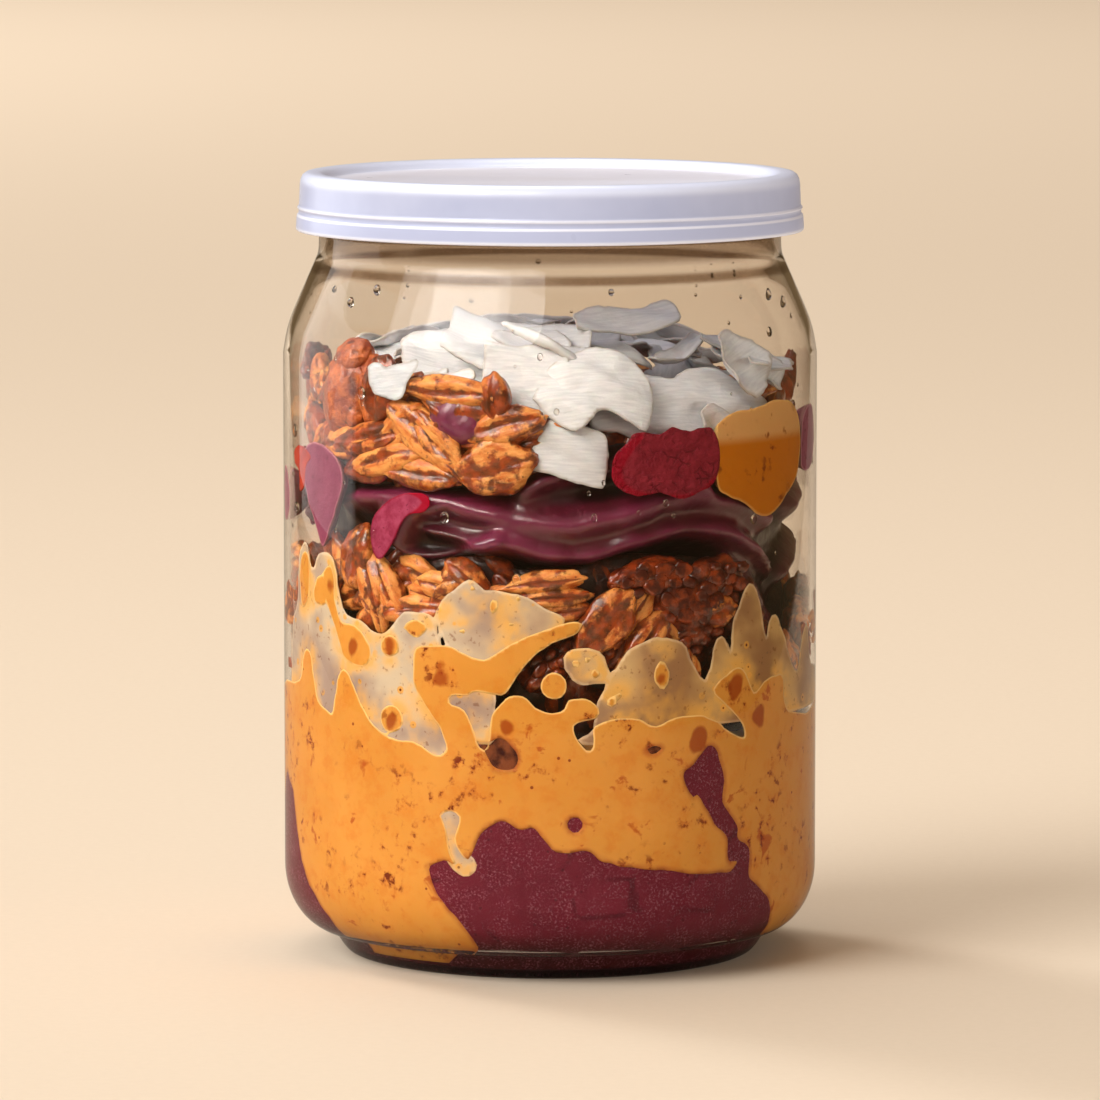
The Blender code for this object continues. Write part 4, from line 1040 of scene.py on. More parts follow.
MIDDLE_GRAINS = (          # kind, angle, height, depth, spin, lean and size of what shows in front
    ("oat", -56, 61, 1.6, 100, 0, (9.5, 5.4, 3)), ("oat", -48, 62, 1.6, 72, 0, (10.5, 6.4, 4)),
    ("oat", -43.5, 59.4, 1.5, 112, 10, (11.5, 4.6, 3.4)),
    ("oat", -38.4, 57.4, 1.7, 118, 0, (11.5, 4.4, 3.2)),
    ("oat", -50, 56.6, 2.4, 20, 0, (9, 5.4, 3)), ("nugget", -44, 53, 2.8, 40, 0, (9, 7, 5)),
    ("oat", -31.5, 55.0, 1.5, 5, 15, (11, 4.8, 3)), ("oat", -28, 57.4, 2.4, -12, 0, (8, 4.4, 3)),
    ("nugget", -22.4, 59.6, 2.4, 40, 0, (8, 6, 4.6)), ("oat", -18.6, 60.2, 1.8, 140, 0, (8.5, 4.2, 3.4)),
    ("oat", -13, 56.4, 2.2, 20, 0, (9, 5.0, 3)), ("oat", -1.5, 59.6, 1.7, 8, 5, (12, 3.8, 3.2)),
    ("oat", 0.4, 57.4, 1.8, 4, 0, (12, 3.8, 3.2)), ("oat", 2.4, 55.2, 2.1, 8, 0, (10, 3.6, 3)),
    ("oat", 12.4, 53.8, 1.4, 48, 0, (12, 7.2, 4.8)), ("oat", 18.8, 54.8, 2.6, 52, 0, (10.5, 5, 3.6)),
    ("oat", 21.6, 50.9, 1.6, 53, 0, (12, 5.0, 3.8)), ("oat", 16.4, 50.0, 3.0, 45, 0, (9, 5, 3.4)),
    ("oat", 27.4, 51.6, 3.0, 120, 0, (8, 5, 3.4)), ("crust", 22.4, 60.0, 2.3, 4, 0, (13, 5.6, 5)),
    ("crust", 31, 56.2, 2.6, -20, 0, (11.5, 8.4, 6)), ("crust", 41, 59.0, 2.8, 10, 0, (11, 6.8, 5.5)),
    ("crust", 35.5, 51.6, 3.4, 20, 0, (9.5, 6.4, 5)), ("crust", 47.5, 54.6, 3.2, 90, 0, (10, 7, 5)),
    ("oat", 40.4, 54.4, 1.4, 10, 0, (6.8, 4.9, 3.6)), ("crust", 8, 48.5, 3.6, 0, 0, (8, 5.6, 4.4)),
    ("oat", 18, 46.6, 1.8, 50, 0, (8.4, 4.8, 3.2)), ("oat", 31.6, 45.0, 1.8, 78, 0, (8.4, 5, 3.2)),
    ("crust", 0, 47.0, 4.4, 40, 0, (10, 6, 5)), ("crust", -8, 53.0, 4.4, 10, 0, (9, 6, 5)),
    ("nugget", -36, 60.0, 4.6, 10, 0, (9, 6, 5)), ("oat", -60.0, 57.0, 2.4, 80, 0, (9, 5, 3)),
    ("crust", 53, 50.5, 3.0, 110, 0, (9, 6, 4.6)), ("crust", 58, 47.0, 2.8, 20, 0, (8, 5.6, 4)))
middle = Heap()
for entry in MIDDLE_GRAINS:
    tones = (1.15, 1.4) if entry[0] == "crust" else (0.0, 0.6)
    middle.grain(*entry, tone=draw(*tones), fine=1.5)
MIDDLE_BACK = 92           # grains on the wall at the sides and back
for index in range(MIDDLE_BACK):
    angle = 60.0 + 236.0 * (index + grains.random()) / MIDDLE_BACK
    height = draw(39.0, float(swirl_under_wall(angle)) - 2.0)
    kind, size = any_grain(0.62, (8.5, 12.0), (4.6, 6.0), (2.8, 3.6))
    middle.grain(kind, angle, height, draw(1.4, 3.0), draw(0, 180), draw(-15, 15), size)
MIDDLE_BEHIND = 34         # painted dark, as shade, behind those in front
for index in range(MIDDLE_BEHIND):
    angle = -64.0 + 128.0 * (index + grains.random()) / MIDDLE_BEHIND
    height = draw(39.0, float(swirl_under_wall(angle)) - 2.0)
    middle.grain(either(0.5), angle, height, draw(5.2, 6.6), draw(0, 180), draw(-20, 20),
                 (9.5, 6.0, 4.0), tone=draw(0.9, 1.5))
granola_middle = middle.build("granola_middle_grains", toast)
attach(granola_middle, "root")
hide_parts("granola_middle")

gap = Paint("shaded_crumb_core", {"Roughness": 0.4, "Coat Weight": 0.3, "Coat Roughness": 0.2})
# Painted shade: the core is near black, as the gaps between the grains are in shade.
gap.ground(gap.noise(2.0, 4.0, 0.6).step(0.4, 0.7), (26, 8, 5), (66, 24, 12))
gap.show()
gap.emboss(gap.noise(1.3, 4.0), 0.5)


def crumbs(points):
    """A core's surface, made bumpy mostly sideways."""
    outwards = points / (1.0 + np.abs(points)) * (1, 1, 0.2)
    return points + 0.9 * ruffle(points, 3.0, 4)[:, None] * outwards


def domed(centre, edge, start=0.45):
    """Height that is level at the centre and eases to edge(angle) at the wall."""
    return lambda angles, share: centre + (edge(angles) - centre) * smooth(start, 1.0, share)


middle_core = layered(
    "granola_middle_core", lambda angles, share: cream_over(angles, share) - 0.6,
    domed(60.0, swirl_under_wall, 0.5),
    lambda angles, height: touch(height) - 4.6, gap, sides=160, rows=20, rough=crumbs)
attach(middle_core, "root")


# ------------------------------------------------------------ the acai swirl
# Acai piped as one thick glossy band round the jar. Its side is folded in soft ridges
# that stand back from the wall, except where a fold is pressed on it: there it is dull
# and pink with a wet crimson rim. One body whose side follows the folds.


def course(path, angles, heights):
    """Signed distance to an open stroke of (angle, height, half width) points."""
    path = eased(path, 4)
    x, nearest = angles * ARC, np.full(np.shape(angles * heights), 1e9)
    for (x0, z0, r0), (x1, z1, r1) in zip(path * (ARC, 1, 1), path[1:] * (ARC, 1, 1)):
        length = max((x1 - x0) ** 2 + (z1 - z0) ** 2, 1e-9)
        share = np.clip(((x - x0) * (x1 - x0) + (heights - z0) * (z1 - z0)) / length, 0.0, 1.0)
        away = np.hypot(x - x0 - share * (x1 - x0), heights - z0 - share * (z1 - z0))
        nearest = np.minimum(nearest, away - r0 - share * (r1 - r0))
    return nearest


FOLDS = (                  # each a course, its half width and how far it stands out
    (((-56, 70.6, 0), (-42, 71.6, 0), (-34, 72.0, 0), (-26, 71.4, 0), (-16, 69.8, 0), (-6, 68.4, 0),
      (4, 67.8, 0), (14, 68.8, 0), (24, 70.6, 0), (36, 71.6, 0), (48, 70.4, 0), (60, 67.4, 0)), 2.9, 4.2),
    (((-30, 66.8, -1.2), (-22, 66.0, -0.8), (-15, 65.2, -0.4), (-8, 64.6, 0), (0, 63.2, 0), (10, 63.0, 0),
      (20, 64.8, 0), (31, 66.6, 0), (44, 65.8, 0), (56, 62.4, -0.4), (68, 58, -1.6)), 2.0, 4.0),
    (((-6, 73, 0), (2, 75.4, 0), (14, 76.6, 0), (28, 76, 0), (38, 74, 0)), 2.0, 3.6),
    (((-40, 63.8, 0), (-32, 62.4, 0), (-24, 62.8, 0), (-17, 64.2, 0), (-12, 66.0, 0)), 1.2, 2.6),
    (((46, 60, 0), (54, 57.5, 0), (62, 53, 0), (72, 50, 0)), 2.4, 2.6),
    (((80, 68, 0), (100, 71, 0), (130, 70, 0), (160, 67, 0), (185, 68, 0), (210, 71, 0), (240, 72, 0),
      (262, 70, 0)), 2.6, 3.8),
    (((76, 58, 0), (98, 62, 0), (130, 63, 0), (160, 64, 0), (190, 62, 0), (220, 65, 0), (250, 66, 0),
      (272, 66, 0)), 2.1, 3.4))
PRESSED = (                # outlines where a fold lies flat on the wall
    ((-40.4, 62.4), (-41.6, 64.4), (-41.6, 66.8), (-40.4, 68.8), (-37.5, 70.6), (-33.8, 71.9), (-30.3, 72.5),
     (-27, 72.2), (-26.3, 71), (-27.9, 69.6), (-30.4, 69.4), (-32.4, 68.6), (-34, 67), (-35.3, 65.4),
     (-36.8, 63.8), (-38.6, 62.3)),
    ((104, 70), (107, 72.4), (113, 73), (121, 71.6), (126, 69), (124, 67.6), (117, 69.4), (109, 68.4)),
    ((160, 65.4), (165, 67.6), (172, 67), (176, 64.4), (173, 62.4), (166, 63.4)),
    ((191, 72), (196, 73.4), (205, 72.6), (214, 70), (219, 66.4), (217, 65.6), (210, 68.2), (199, 70.4)),
    ((244, 66.4), (248, 69), (251, 68.4), (252, 65), (249, 62.8)))


def pressed_field(angles, heights):
    turned_to = folded(angles)
    fields = [inside_of(corners, turned_to, heights) for corners in PRESSED]
    return np.minimum.reduce(fields) + 0.14 * wobble(angles, heights, 1.8, 31)


BAND_BACK = 5.6            # how far the band stands back from the wall between its folds
PRESSED_BACK = 1.2         # and behind the faces that are pressed on it


def swirl_recess(angles, heights):
    """How far the band's side stands back from the wall."""
    turned_to = folded(angles)
    recess = BAND_BACK + 0.9 * wobble(angles, heights, 9.0, 21) + 0.4 * wobble(angles, heights, 3.0, 22)
    for path, width, lift in FOLDS:
        recess = recess - lift * np.exp(-(course(path, turned_to, heights) / width) ** 2)
    share = smooth(-0.4, 2.2, pressed_field(angles, heights))
    return np.clip(recess, 0.0, 9.0) * share + PRESSED_BACK * (1.0 - share)


def swirl_side(angles, heights):
    return touch(heights) - 0.04 - swirl_recess(angles, heights)


glossy = Paint("acai_glossy", {"Specular IOR Level": 0.45, "Coat Roughness": 0.10,
                               "Subsurface Weight": 0.08, "Subsurface Scale": 0.001})
glossy_deep = glossy.mark("deep")
glossy.ground(glossy.noise(9.0, 3.0), (62, 12, 27), (92, 24, 44))
# Painted light: the crests near the wall lighter, as sheen, and the deep folds near black, as shade.
glossy.over(glossy_deep.step(2.6, 1.0) * 0.6, (128, 46, 78))
glossy.over(glossy_deep.step(3.0, 5.0), (30, 6, 14))
glossy.over(glossy.noise(0.8, 2.0).step(0.68, 0.72) * 0.5, (40, 8, 16))
glossy.show()
glossy.feed("Roughness", glossy.noise(5.0, 3.0) * 0.24 + 0.22)
glossy_wet = glossy.noise(7.0, 2.0).step(0.3, 0.6) * 0.6 + 0.35
glossy.feed("Coat Weight", glossy_wet * glossy_deep.step(5.0, 2.6))
glossy.emboss(glossy.noise(1.4, 4.0), 0.16)


swirl_under = domed(59.0, swirl_under_wall)
swirl_over = domed(73.0, swirl_over_wall)


def round_lips(points):
    """Round the band's upper and lower edges in from the wall."""
    radius = np.hypot(points[:, 0], points[:, 1])
    turn = np.degrees(np.arctan2(points[:, 0], -points[:, 1]))
    under, over = swirl_under_wall(turn), swirl_over_wall(turn)
    rise = np.clip((points[:, 2] - under) / (over - under), 0.0, 1.0)
    lip = 2.8 * np.abs(2.0 * rise - 1.0) ** 6 * smooth(24.0, 39.0, radius)
    return points * np.stack((1.0 - lip / np.maximum(radius, 9.0),) * 2 + (np.ones(len(points)),), -1)


swirl = layered("acai_swirl_band", swirl_under, swirl_over, swirl_side, glossy, sides=330, rows=44,
                rough=round_lips)
swirl_points = np.array([vertex.co for vertex in swirl.data.vertices]) / MM
swirl_turn = np.degrees(np.arctan2(swirl_points[:, 0], -swirl_points[:, 1]))
store(swirl.data, "deep", swirl_recess(swirl_turn, swirl_points[:, 2]))
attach(swirl, "root")
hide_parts("acai_swirl")

flat = Paint("acai_pressed", {"Specular IOR Level": 0.10, "Subsurface Weight": 0.06,
                              "Subsurface Scale": 0.001})
flat_wet = flat.mark("wet").step(0.25, -0.25)
flat.ground(flat.noise(1.4, 4.0, 0.6).step(0.3, 0.7), (142, 46, 70), (168, 70, 94))
flat.over(flat.noise(0.7, 2.0).step(0.64, 0.70) * 0.6, (96, 22, 44))
flat.over(flat.mark("inset").step(0.34, 0.12) * 0.7, (134, 16, 40))
flat.over(flat_wet * 0.85, (158, 6, 36))
flat.show()
flat.feed("Roughness", flat_wet * -0.35 + 0.55)
flat.emboss(flat.noise(0.8, 3.0), 0.12)
FLAT_WET = (               # wet strokes along the rims: angle, height and half width
    ((-31.5, 72.4, 0.2), (-28.6, 72.2, 0.7), (-26.9, 71.2, 0.9), (-28.6, 69.9, 0.6), (-31.6, 69.0, 0.15)),
    ((202, 73.4, 0.3), (212, 71.4, 0.6), (219, 66.4, 0.5)))


def flat_wetness(angles, heights):
    return np.minimum.reduce([course(path, folded(angles), heights) for path in FLAT_WET])


flat_faces = smear("acai_pressed_folds", pressed_field, (-180.0, 180.0), (60.0, 75.0), flat, 3.0,
                   out=-0.03, step=0.4, soft=1.6, marks={"wet": flat_wetness})
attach(flat_faces, "root")


# ------------------------------------------------- lumps of acai on the wall
# Lumps of acai that stuck to the wall while the jar was filled. Each is pressed flat on
# it, with a dull face, fine cracks and pits, and a wet rim; it is round behind.

lump = Paint("acai_lump", {"Specular IOR Level": 0.12, "Coat Roughness": 0.1,
                           "Subsurface Weight": 0.06, "Subsurface Scale": 0.001})
lump_bend = lump.node("ShaderNodeTexNoise", {}, {"Vector": lump.place(), "Scale": 500.0}, 1)
lump_crack = (lump.cells(1.9, "DISTANCE_TO_EDGE", lump.bent(lump_bend, 0.0016)).step(0.07, 0.01)
              * lump.noise(3.0, 3.0).step(0.46, 0.58))
lump_wet = lump.mark("wet").step(0.25, -0.35)
lump.ground(lump.noise(2.2, 4.0, 0.6), (88, 10, 22), (156, 50, 60))
lump.over(lump_crack * 0.25, (60, 8, 18))
lump.over(lump_wet * 0.85, (140, 10, 34))
lump.show()
lump.feed("Roughness", lump_wet * -0.35 + 0.58)
lump.feed("Coat Weight", lump_wet * 0.3)
lump.emboss(lump.noise(0.9, 4.0) - lump_crack * 0.3, 0.6)

RED_LUMP = ((13, 75), (13.6, 78), (16, 79.6), (18.4, 81.6), (24, 81.2), (27, 82.2), (31, 81.4),
            (36.5, 81.6), (39.2, 78.5), (38.4, 74.5), (35.6, 72.8), (30, 71.6), (24, 72.6), (19, 72.3),
            (15, 73.2))
RED_WET = ((19.6, 81, 0.5), (16.6, 79, 0.9), (14.0, 76.6, 1.2), (14.6, 74.2, 1.0), (18, 72.6, 0.7),
           (25, 71.8, 0.6), (33, 72.0, 0.5), (38.6, 74.6, 0.5))
red_lump = smear("acai_red_lump", ragged(RED_LUMP, 0.25, 1.5, 41), (10.0, 42.0), (70.0, 84.0), lump, 6.0,
                 out=-0.03, step=0.4, soft=2.2,
                 marks={"wet": lambda angles, heights: course(RED_WET, angles, heights)})
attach(red_lump, "root")
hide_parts("acai_piece")

mauve = Paint("acai_mauve", {"Specular IOR Level": 0.12, "Subsurface Weight": 0.1,
                             "Subsurface Scale": 0.001})
mauve.ground(mauve.noise(3.0, 4.0, 0.6), (118, 46, 70), (156, 84, 104))
mauve.over(mauve.noise(0.9, 2.0).step(0.62, 0.70) * 0.6, (84, 24, 44))
mauve.over(mauve.mark("inset").step(0.35, 0.1) * 0.4, (206, 150, 150))
mauve.show()
mauve.feed("Roughness", mauve.noise(3.0, 2.0) * 0.3 + 0.35)
mauve.emboss(mauve.noise(1.0, 3.0), 0.15)
MAUVE_LUMPS = (
    ("acai_left_lump", "acai_drop_left",
     ((-68, 75), (-65, 77.8), (-60, 78.4), (-54, 77.2), (-50.8, 74.4), (-51.4, 71), (-54, 67.6),
      (-57.8, 63), (-60.4, 65.6), (-63.6, 68.6), (-66.6, 72))),
    ("acai_right_lump", "acai_drop_right",
     ((69.6, 74), (70, 79.5), (73, 82.6), (78.5, 82.7), (81, 79), (79.5, 75), (75, 73.4))),
    ("acai_side_lump", "acai_drop_side",
     ((-85, 71), (-83, 73.6), (-79.4, 72.8), (-77.4, 69.4), (-78.8, 66.2), (-83, 65.6))))
for name, node, corners in MAUVE_LUMPS:
    span = (min(corners)[0] - 3.0, max(corners)[0] + 3.0)
    rise = (min(high for _, high in corners) - 2.0, max(high for _, high in corners) + 2.0)
    mauve_lump = smear(name, ragged(corners, 0.25, 1.6, 43), span, rise, mauve, 3.6, out=-0.03,
                       step=0.45, soft=1.8)
    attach(mauve_lump, "root")
    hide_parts(node)

JUICE = ((-73, 76.4), (-70, 77.4), (-66, 77.2), (-63, 76), (-65.6, 74.6), (-66.6, 71.6), (-69.4, 70.6),
         (-69.6, 73.6), (-72.4, 74.6))
juice_paint = Paint("berry_juice", {"Roughness": 0.12, "Coat Weight": 0.6})
juice_paint.ground(juice_paint.noise(2.0), (140, 12, 18), (200, 62, 34))
juice_paint.show()
juice = smear("berry_juice", lambda angles, heights: inside_of(JUICE, angles, heights),
              (-76.0, -60.0), (68.0, 79.0), juice_paint, 1.2, out=-0.01, step=0.4)
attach(juice, "root")


# ---------------------------------------------------------- the orange spoonful
# A spoonful of the same cream stuck to the wall by the lump, with crumbs in it. It is
# flat on the wall and round behind, and paler towards the top.

dollop = Paint("cream_dollop", {"Specular IOR Level": 0.12, "Subsurface Weight": 0.15,
                                "Subsurface Scale": 0.002, "Roughness": 0.3})
dollop_crumb = dollop.noise(2.3, 3.0, 0.6).step(0.55, 0.66) * dollop.noise(6.0, 2.0).step(0.48, 0.6)
dollop.ground(dollop.along(2).step(78.6, 80.4), (186, 106, 22), (206, 152, 90))
dollop.over(dollop_crumb * 0.85, (120, 58, 16))
dollop.over(dollop.mark("inset").step(0.5, 0.1) * 0.4, (226, 176, 100))
dollop.show()
dollop.emboss(dollop.noise(2.0, 3.0), 0.15)
DOLLOP = ((38.4, 82), (42, 83.4), (48, 84), (54, 84.6), (60, 84.8), (65, 83.8), (68.8, 81), (69, 77),
          (67, 73), (62, 70.6), (57, 68.4), (52, 68), (46.5, 70), (41.5, 71.4), (38.6, 72.6), (37.8, 77))
cream_dollop = smear("cream_dollop", ragged(DOLLOP, 0.2, 2.0, 47), (35.0, 72.0), (66.0, 87.0), dollop,
                     4.6, out=-0.035, step=0.5, soft=2.2)
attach(cream_dollop, "root")
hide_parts("cream_drop")


# ------------------------------------------------------------- the top granola
# The same oats and lumps heaped on the swirl, with one big cluster of nut and syrup at
# the left of the wall. They lie round a dark core like the one below.

TOP_GRAINS = (
    ("oat", -52, 78.8, 1.8, 8, 10, (12, 5, 3)), ("oat", -45, 79.6, 1.8, 12, 20, (14, 5.4, 3.2)),
    ("oat", -39, 77, 1.6, 14, 10, (13, 5, 3)), ("oat", -31, 75.2, 1.6, 172, 10, (15, 4.8, 2.8)),
    ("oat", -44, 75.4, 1.8, 8, 0, (11, 5, 3)), ("oat", -29, 80.8, 1.8, 145, 5, (15, 6.8, 3.6)),
    ("oat", -24.5, 79.0, 1.6, 130, 0, (13, 5.2, 3.2)), ("oat", -12, 76.5, 1.6, 12, 0, (12.6, 8.6, 4.4)),
    ("oat", -10, 82.4, 1.8, 15, 10, (12, 6.4, 3.4)), ("oat", -14, 81.2, 2.4, 20, 0, (10, 5.4, 3.2)),
    ("oat", -22, 87.2, 2.0, 176, 0, (16, 5, 3.6)), ("nugget", -19, 84.6, 2.8, 0, 0, (10, 6, 5)),
    ("oat", -12.2, 86.6, 1.6, 95, 0, (7.5, 4.8, 3.6)), ("oat", -42, 87, 2.6, 80, 0, (10, 7, 4)),
    ("oat", -35, 82, 2.2, 35, 0, (9.5, 5.8, 3.4)), ("nugget", -44.6, 83.6, 4.2, 90, 0, (10, 6, 5)),
    ("nugget", -33, 86, 4.4, 10, 0, (9, 6, 5)), ("oat", -3, 80.6, 3.4, 20, 0, (10, 5, 3)),
    ("oat", -61, 78.6, 2.0, 40, 0, (9, 5, 3)), ("oat", -67, 79.6, 2.2, 120, 0, (9, 5, 3)))
top = Heap()
for entry in TOP_GRAINS:
    top.grain(*entry, fine=1.5)
TOP_BACK = 80              # grains on the wall at the sides and back
for index in range(TOP_BACK):
    angle = 94.0 + 196.0 * (index + grains.random()) / TOP_BACK
    low, high = float(swirl_over_wall(angle)) + 1.0, float(heap_over_wall(angle)) + 1.0
    aside = float(smooth(250.0, 268.0, angle) + 1.0 - smooth(94.0, 106.0, angle))
    kind, size = any_grain(0.66, (9, 13), (4.8, 6.6), (2.8, 3.8))
    top.grain(kind, angle, draw(low, high - 3.6 * aside), draw(1.4, 3.4) + 4.4 * aside,
              draw(0, 180), draw(-20, 20), size)
TOP_BEHIND = 20            # painted dark, as shade, behind those in front
for index in range(TOP_BEHIND):
    angle = -64.0 + 64.0 * (index + grains.random()) / TOP_BEHIND
    top.grain(either(0.5), angle, draw(74.0, 84.0), draw(5.4, 7.0), draw(0, 180), draw(-20, 20),
              (10, 6, 4), tone=draw(0.9, 1.5))
BEHIND_LUMPS = 16          # nuggets painted dark, as shade, behind the lumps at the right
for index in range(BEHIND_LUMPS):
    top.grain("nugget", 2.0 + 5.6 * index, draw(75.0, 79.0), draw(7.0, 9.0), draw(0, 180),
              draw(-20, 20), (9, 6, 4), tone=draw(0.9, 1.5))


def sector(start, end, ease, after, angle):
    """1 between two angles and 0 outside them, eased over ease and after degrees."""
    return float(smooth(start, start + ease, angle) * (1.0 - smooth(end, end + after, angle)))


HEAP_TOP = 74              # grains on top, which lie lower at the right front and by the nuts
for index in range(HEAP_TOP):
    reach = 33.0 * math.sqrt((index + 0.5) / HEAP_TOP)
    angle = (index * GOLDEN_TURN + 180.0) % 360.0 - 180.0
    low = 5.0 * sector(-16.0, 66.0, 18.0, 18.0, angle) * float(smooth(10.0, 26.0, reach))
    edge = sector(-110.0, -66.0, 16.0, 10.0, angle) * float(smooth(20.0, 30.0, reach))
    turn = (set_at(angle, reach - 0.8 * low - 4.6 * edge, 87.2 - reach * 0.09 - low - 2.4 * edge)
            @ turned_by("Z", draw(0, 360)) @ turned_by("X", draw(-28, 28)))
    top.put(either(0.7), turn, (draw(9, 13), 5.8, 3.6))
granola_top = top.build("granola_top_grains", toast)
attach(granola_top, "root")
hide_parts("granola_top")

top_core = layered(
    "granola_top_core", lambda angles, share: swirl_over(angles, share) - 1.2,
    domed(87.0, lambda angles: heap_over_wall(angles) - 3.0, 0.5),
    lambda angles, height: touch(height) - 4.8, gap, sides=160, rows=12, rough=crumbs)
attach(top_core, "root")

cluster = Paint("nut_cluster", {"Specular IOR Level": 0.5, "Coat Roughness": 0.12, "Coat Weight": 0.55})
cluster.ground(cluster.noise(2.2, 4.0, 0.65).step(0.35, 0.7), (140, 54, 20), (214, 116, 54))
cluster.over(cluster.noise(1.1, 3.0).step(0.60, 0.72) * 0.8, (52, 14, 8))
# Painted shade in the grooves.
cluster.over(cluster.mark("crease") * 0.8, (58, 17, 8))
cluster.show()
cluster.feed("Roughness", cluster.noise(2.0, 3.0) * 0.35 + 0.25)
cluster.emboss(cluster.noise(0.9, 4.0, 0.6), 0.5)
acai_peek = Heap()
acai_peek.add(lump_shape((9.5, 6.4, 6), 21.0), on_wall(-21.0, 83.2, 2.6, -30.0, heading=-21.5), 0.5)
acai_peek.marks["deep"] = [np.full(acai_peek.total, 1.2)]
acai_peeking = acai_peek.build("acai_peeking", glossy)
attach(acai_peeking, "root")


def nut_shape(size, seed):
    """Rugged lump: a ball with ridges along it, and a mark for painted shade in its grooves."""
    points, faces = ball(54, 36)
    ridge = ruffle(points * (0.45, 1.0, 1.0), 0.34, seed + 1)
    swell = 1.0 + 0.18 * ruffle(points, 0.8, seed) + 0.13 * ridge + 0.05 * ruffle(points, 0.16, seed + 2)
    return points * swell[:, None] * (np.array(size) / 2.0), faces, np.clip(-0.2 - 1.8 * ridge, 0.0, 1.0)


nut = Heap()
for angle, height, depth, spin, size, seed in (
        (-55.5, 84.8, 3.6, 86, (14.0, 9.4, 7.4), 3.0), (-46.5, 86.4, 4.4, 96, (11.0, 5.6, 5.6), 8.0),
        (-59.5, 79.6, 3.2, 40, (6.6, 5.6, 5.0), 13.0), (-53.0, 91.2, 3.4, 10, (6.4, 5.4, 5.0), 18.0),
        (-52.0, 83.0, 2.8, 70, (6.2, 4.6, 4.4), 23.0)):
    nut.add(nut_shape(size, seed), on_wall(angle, height, depth, spin), 0.8)
nut_cluster = nut.build("nut_cluster_lumps", cluster)
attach(nut_cluster, "root")
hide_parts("nut_cluster")


# --------------------------------------------------------------- the coconut
# Shaved coconut: thin curled flakes, white and a little translucent, with ragged ends
# and fine fibres, heaped loose on top. Each is a closed sheet bent over itself.

OUTLINES = {               # in halves of a flake's length and width
    "fan": ((-1, -0.13), (-0.77, 0.44), (-0.49, 0.74), (-0.11, 0.96), (0.22, 1), (0.5, 0.92), (0.74, 0.66),
            (0.93, 0.36), (1, -0.02), (0.95, -0.47), (0.81, -0.95), (0.46, -0.77), (0.22, -0.54), (0, -0.62),
            (-0.06, -0.77), (-0.34, -1), (-0.63, -0.77), (-0.82, -0.47)),
    "blade": ((-0.9, 0.2), (-0.7, 0.7), (-0.44, 0.96), (-0.09, 0.73), (0.09, 0.92), (0.28, 1), (0.47, 1),
              (0.66, 0.73), (0.85, 0.42), (1, 0.19), (0.93, -0.08), (0.73, -0.46), (0.47, -0.73),
              (0.22, -0.85), (-0.09, -0.9), (-0.41, -0.81), (-0.73, -0.62), (-1, -0.35)),
    "square": ((-1, -0.42), (-0.89, 0.04), (-0.71, 0.5), (-0.5, 0.9), (-0.46, 0.95), (-0.18, 0.95),
               (0.36, 0.8), (0.74, 0.7), (0.78, 0.68), (0.98, 0.4), (0.99, -0.2), (0.92, -0.96), (0.88, -1),
               (0.5, -0.93), (-0.2, -0.72), (-0.96, -0.46)),
    "curl": ((-0.98, 0.86), (-0.62, 0.95), (-0.2, 0.6), (0.26, 0.78), (0.67, 0.86), (1, 0.78), (0.85, 0.26),
             (0.5, -0.17), (0.26, -0.95), (-0.2, -1), (-0.74, -0.69), (-0.98, 0)),
    "dish": ((-1, 0.35), (-0.85, 0.55), (-0.5, 0.8), (0, 1), (0.6, 0.9), (1, 0.4), (0.95, -0.1),
             (0.6, -0.65), (0.1, -0.95), (-0.4, -0.85), (-0.8, -0.35)),
    "half": ((-1, 0.95), (-0.94, 1), (-0.2, 0.9), (0.7, 1), (1, 0.4), (0.9, -0.7), (0.3, -1), (-0.4, -0.7),
             (-0.94, -0.35), (-1, -0.28)),
    "strip": ((-1, -0.5), (-0.9, 0.6), (-0.4, 1), (0.2, 0.7), (0.8, 0.9), (1, 0.3), (0.9, -0.6), (0.3, -1),
              (-0.4, -0.8)),
    "shard": ((-1, -0.3), (-0.6, 0.7), (-0.52, 0.76), (0.1, 1), (0.7, 0.5), (1, -0.2), (0.94, -0.3),
              (0.5, -0.9), (-0.3, -1))}
FLAKES = (                 # outline, angle, radius, height, length, width, tilt, heading, spin, curl, drop
    ("square", 4, 36.8, 79.6, 11.8, 10, 84, 4, -2, -0.5, -1.2),
    ("blade", 37, 32.2, 87, 31, 12.5, 60, 31, -2, -2.2, 0.6),
    ("half", -6, 33.2, 87, 12.5, 12, 62, -4, 0, 0.6, 2.4),
    ("fan", 10.5, 34.4, 90, 18, 13.4, 56, 9, 0, -2.4, 1.2),
    ("shard", 54, 34.6, 92, 10, 10.5, 66, 50, 20, 2.6, 0),
    ("curl", -33, 34.6, 88.6, 9.5, 7, 62, -32, 0, 1.2, 1.2),
    ("dish", -26, 23, 93, 28, 16, 40, -26, 0, 2.4, -0.4),
    ("half", -12, 24, 94, 22, 12, 36, -10, -8, 2.0, 1.4),
    ("strip", 30, 22, 94.5, 18, 5.5, 46, 26, 4, 1.2, 0.2),
    ("blade", 62, 22, 91.5, 22, 12, 34, 60, 30, -1.6, 0),
    ("dish", -82, 24, 91, 22, 12, 22, -80, 12, 1.8, 0),
    ("half", 98, 25, 91.5, 24, 13, 24, 95, -10, 1.8, 0),
    ("fan", -120, 25, 91.2, 21, 12, 22, -120, 5, 1.8, 0),
    ("blade", 137, 25, 91.4, 23, 12, 24, 135, 8, 1.8, 0),
    ("dish", 178, 25, 92, 25, 13, 26, 180, -6, 2.0, 0), ("dish", 10, 4, 95, 22, 13, 10, 0, 40, 2.0, 3.4),
    ("strip", -2, 27, 95.8, 16, 4.5, 38, -2, -18, 1.2, 1.6))
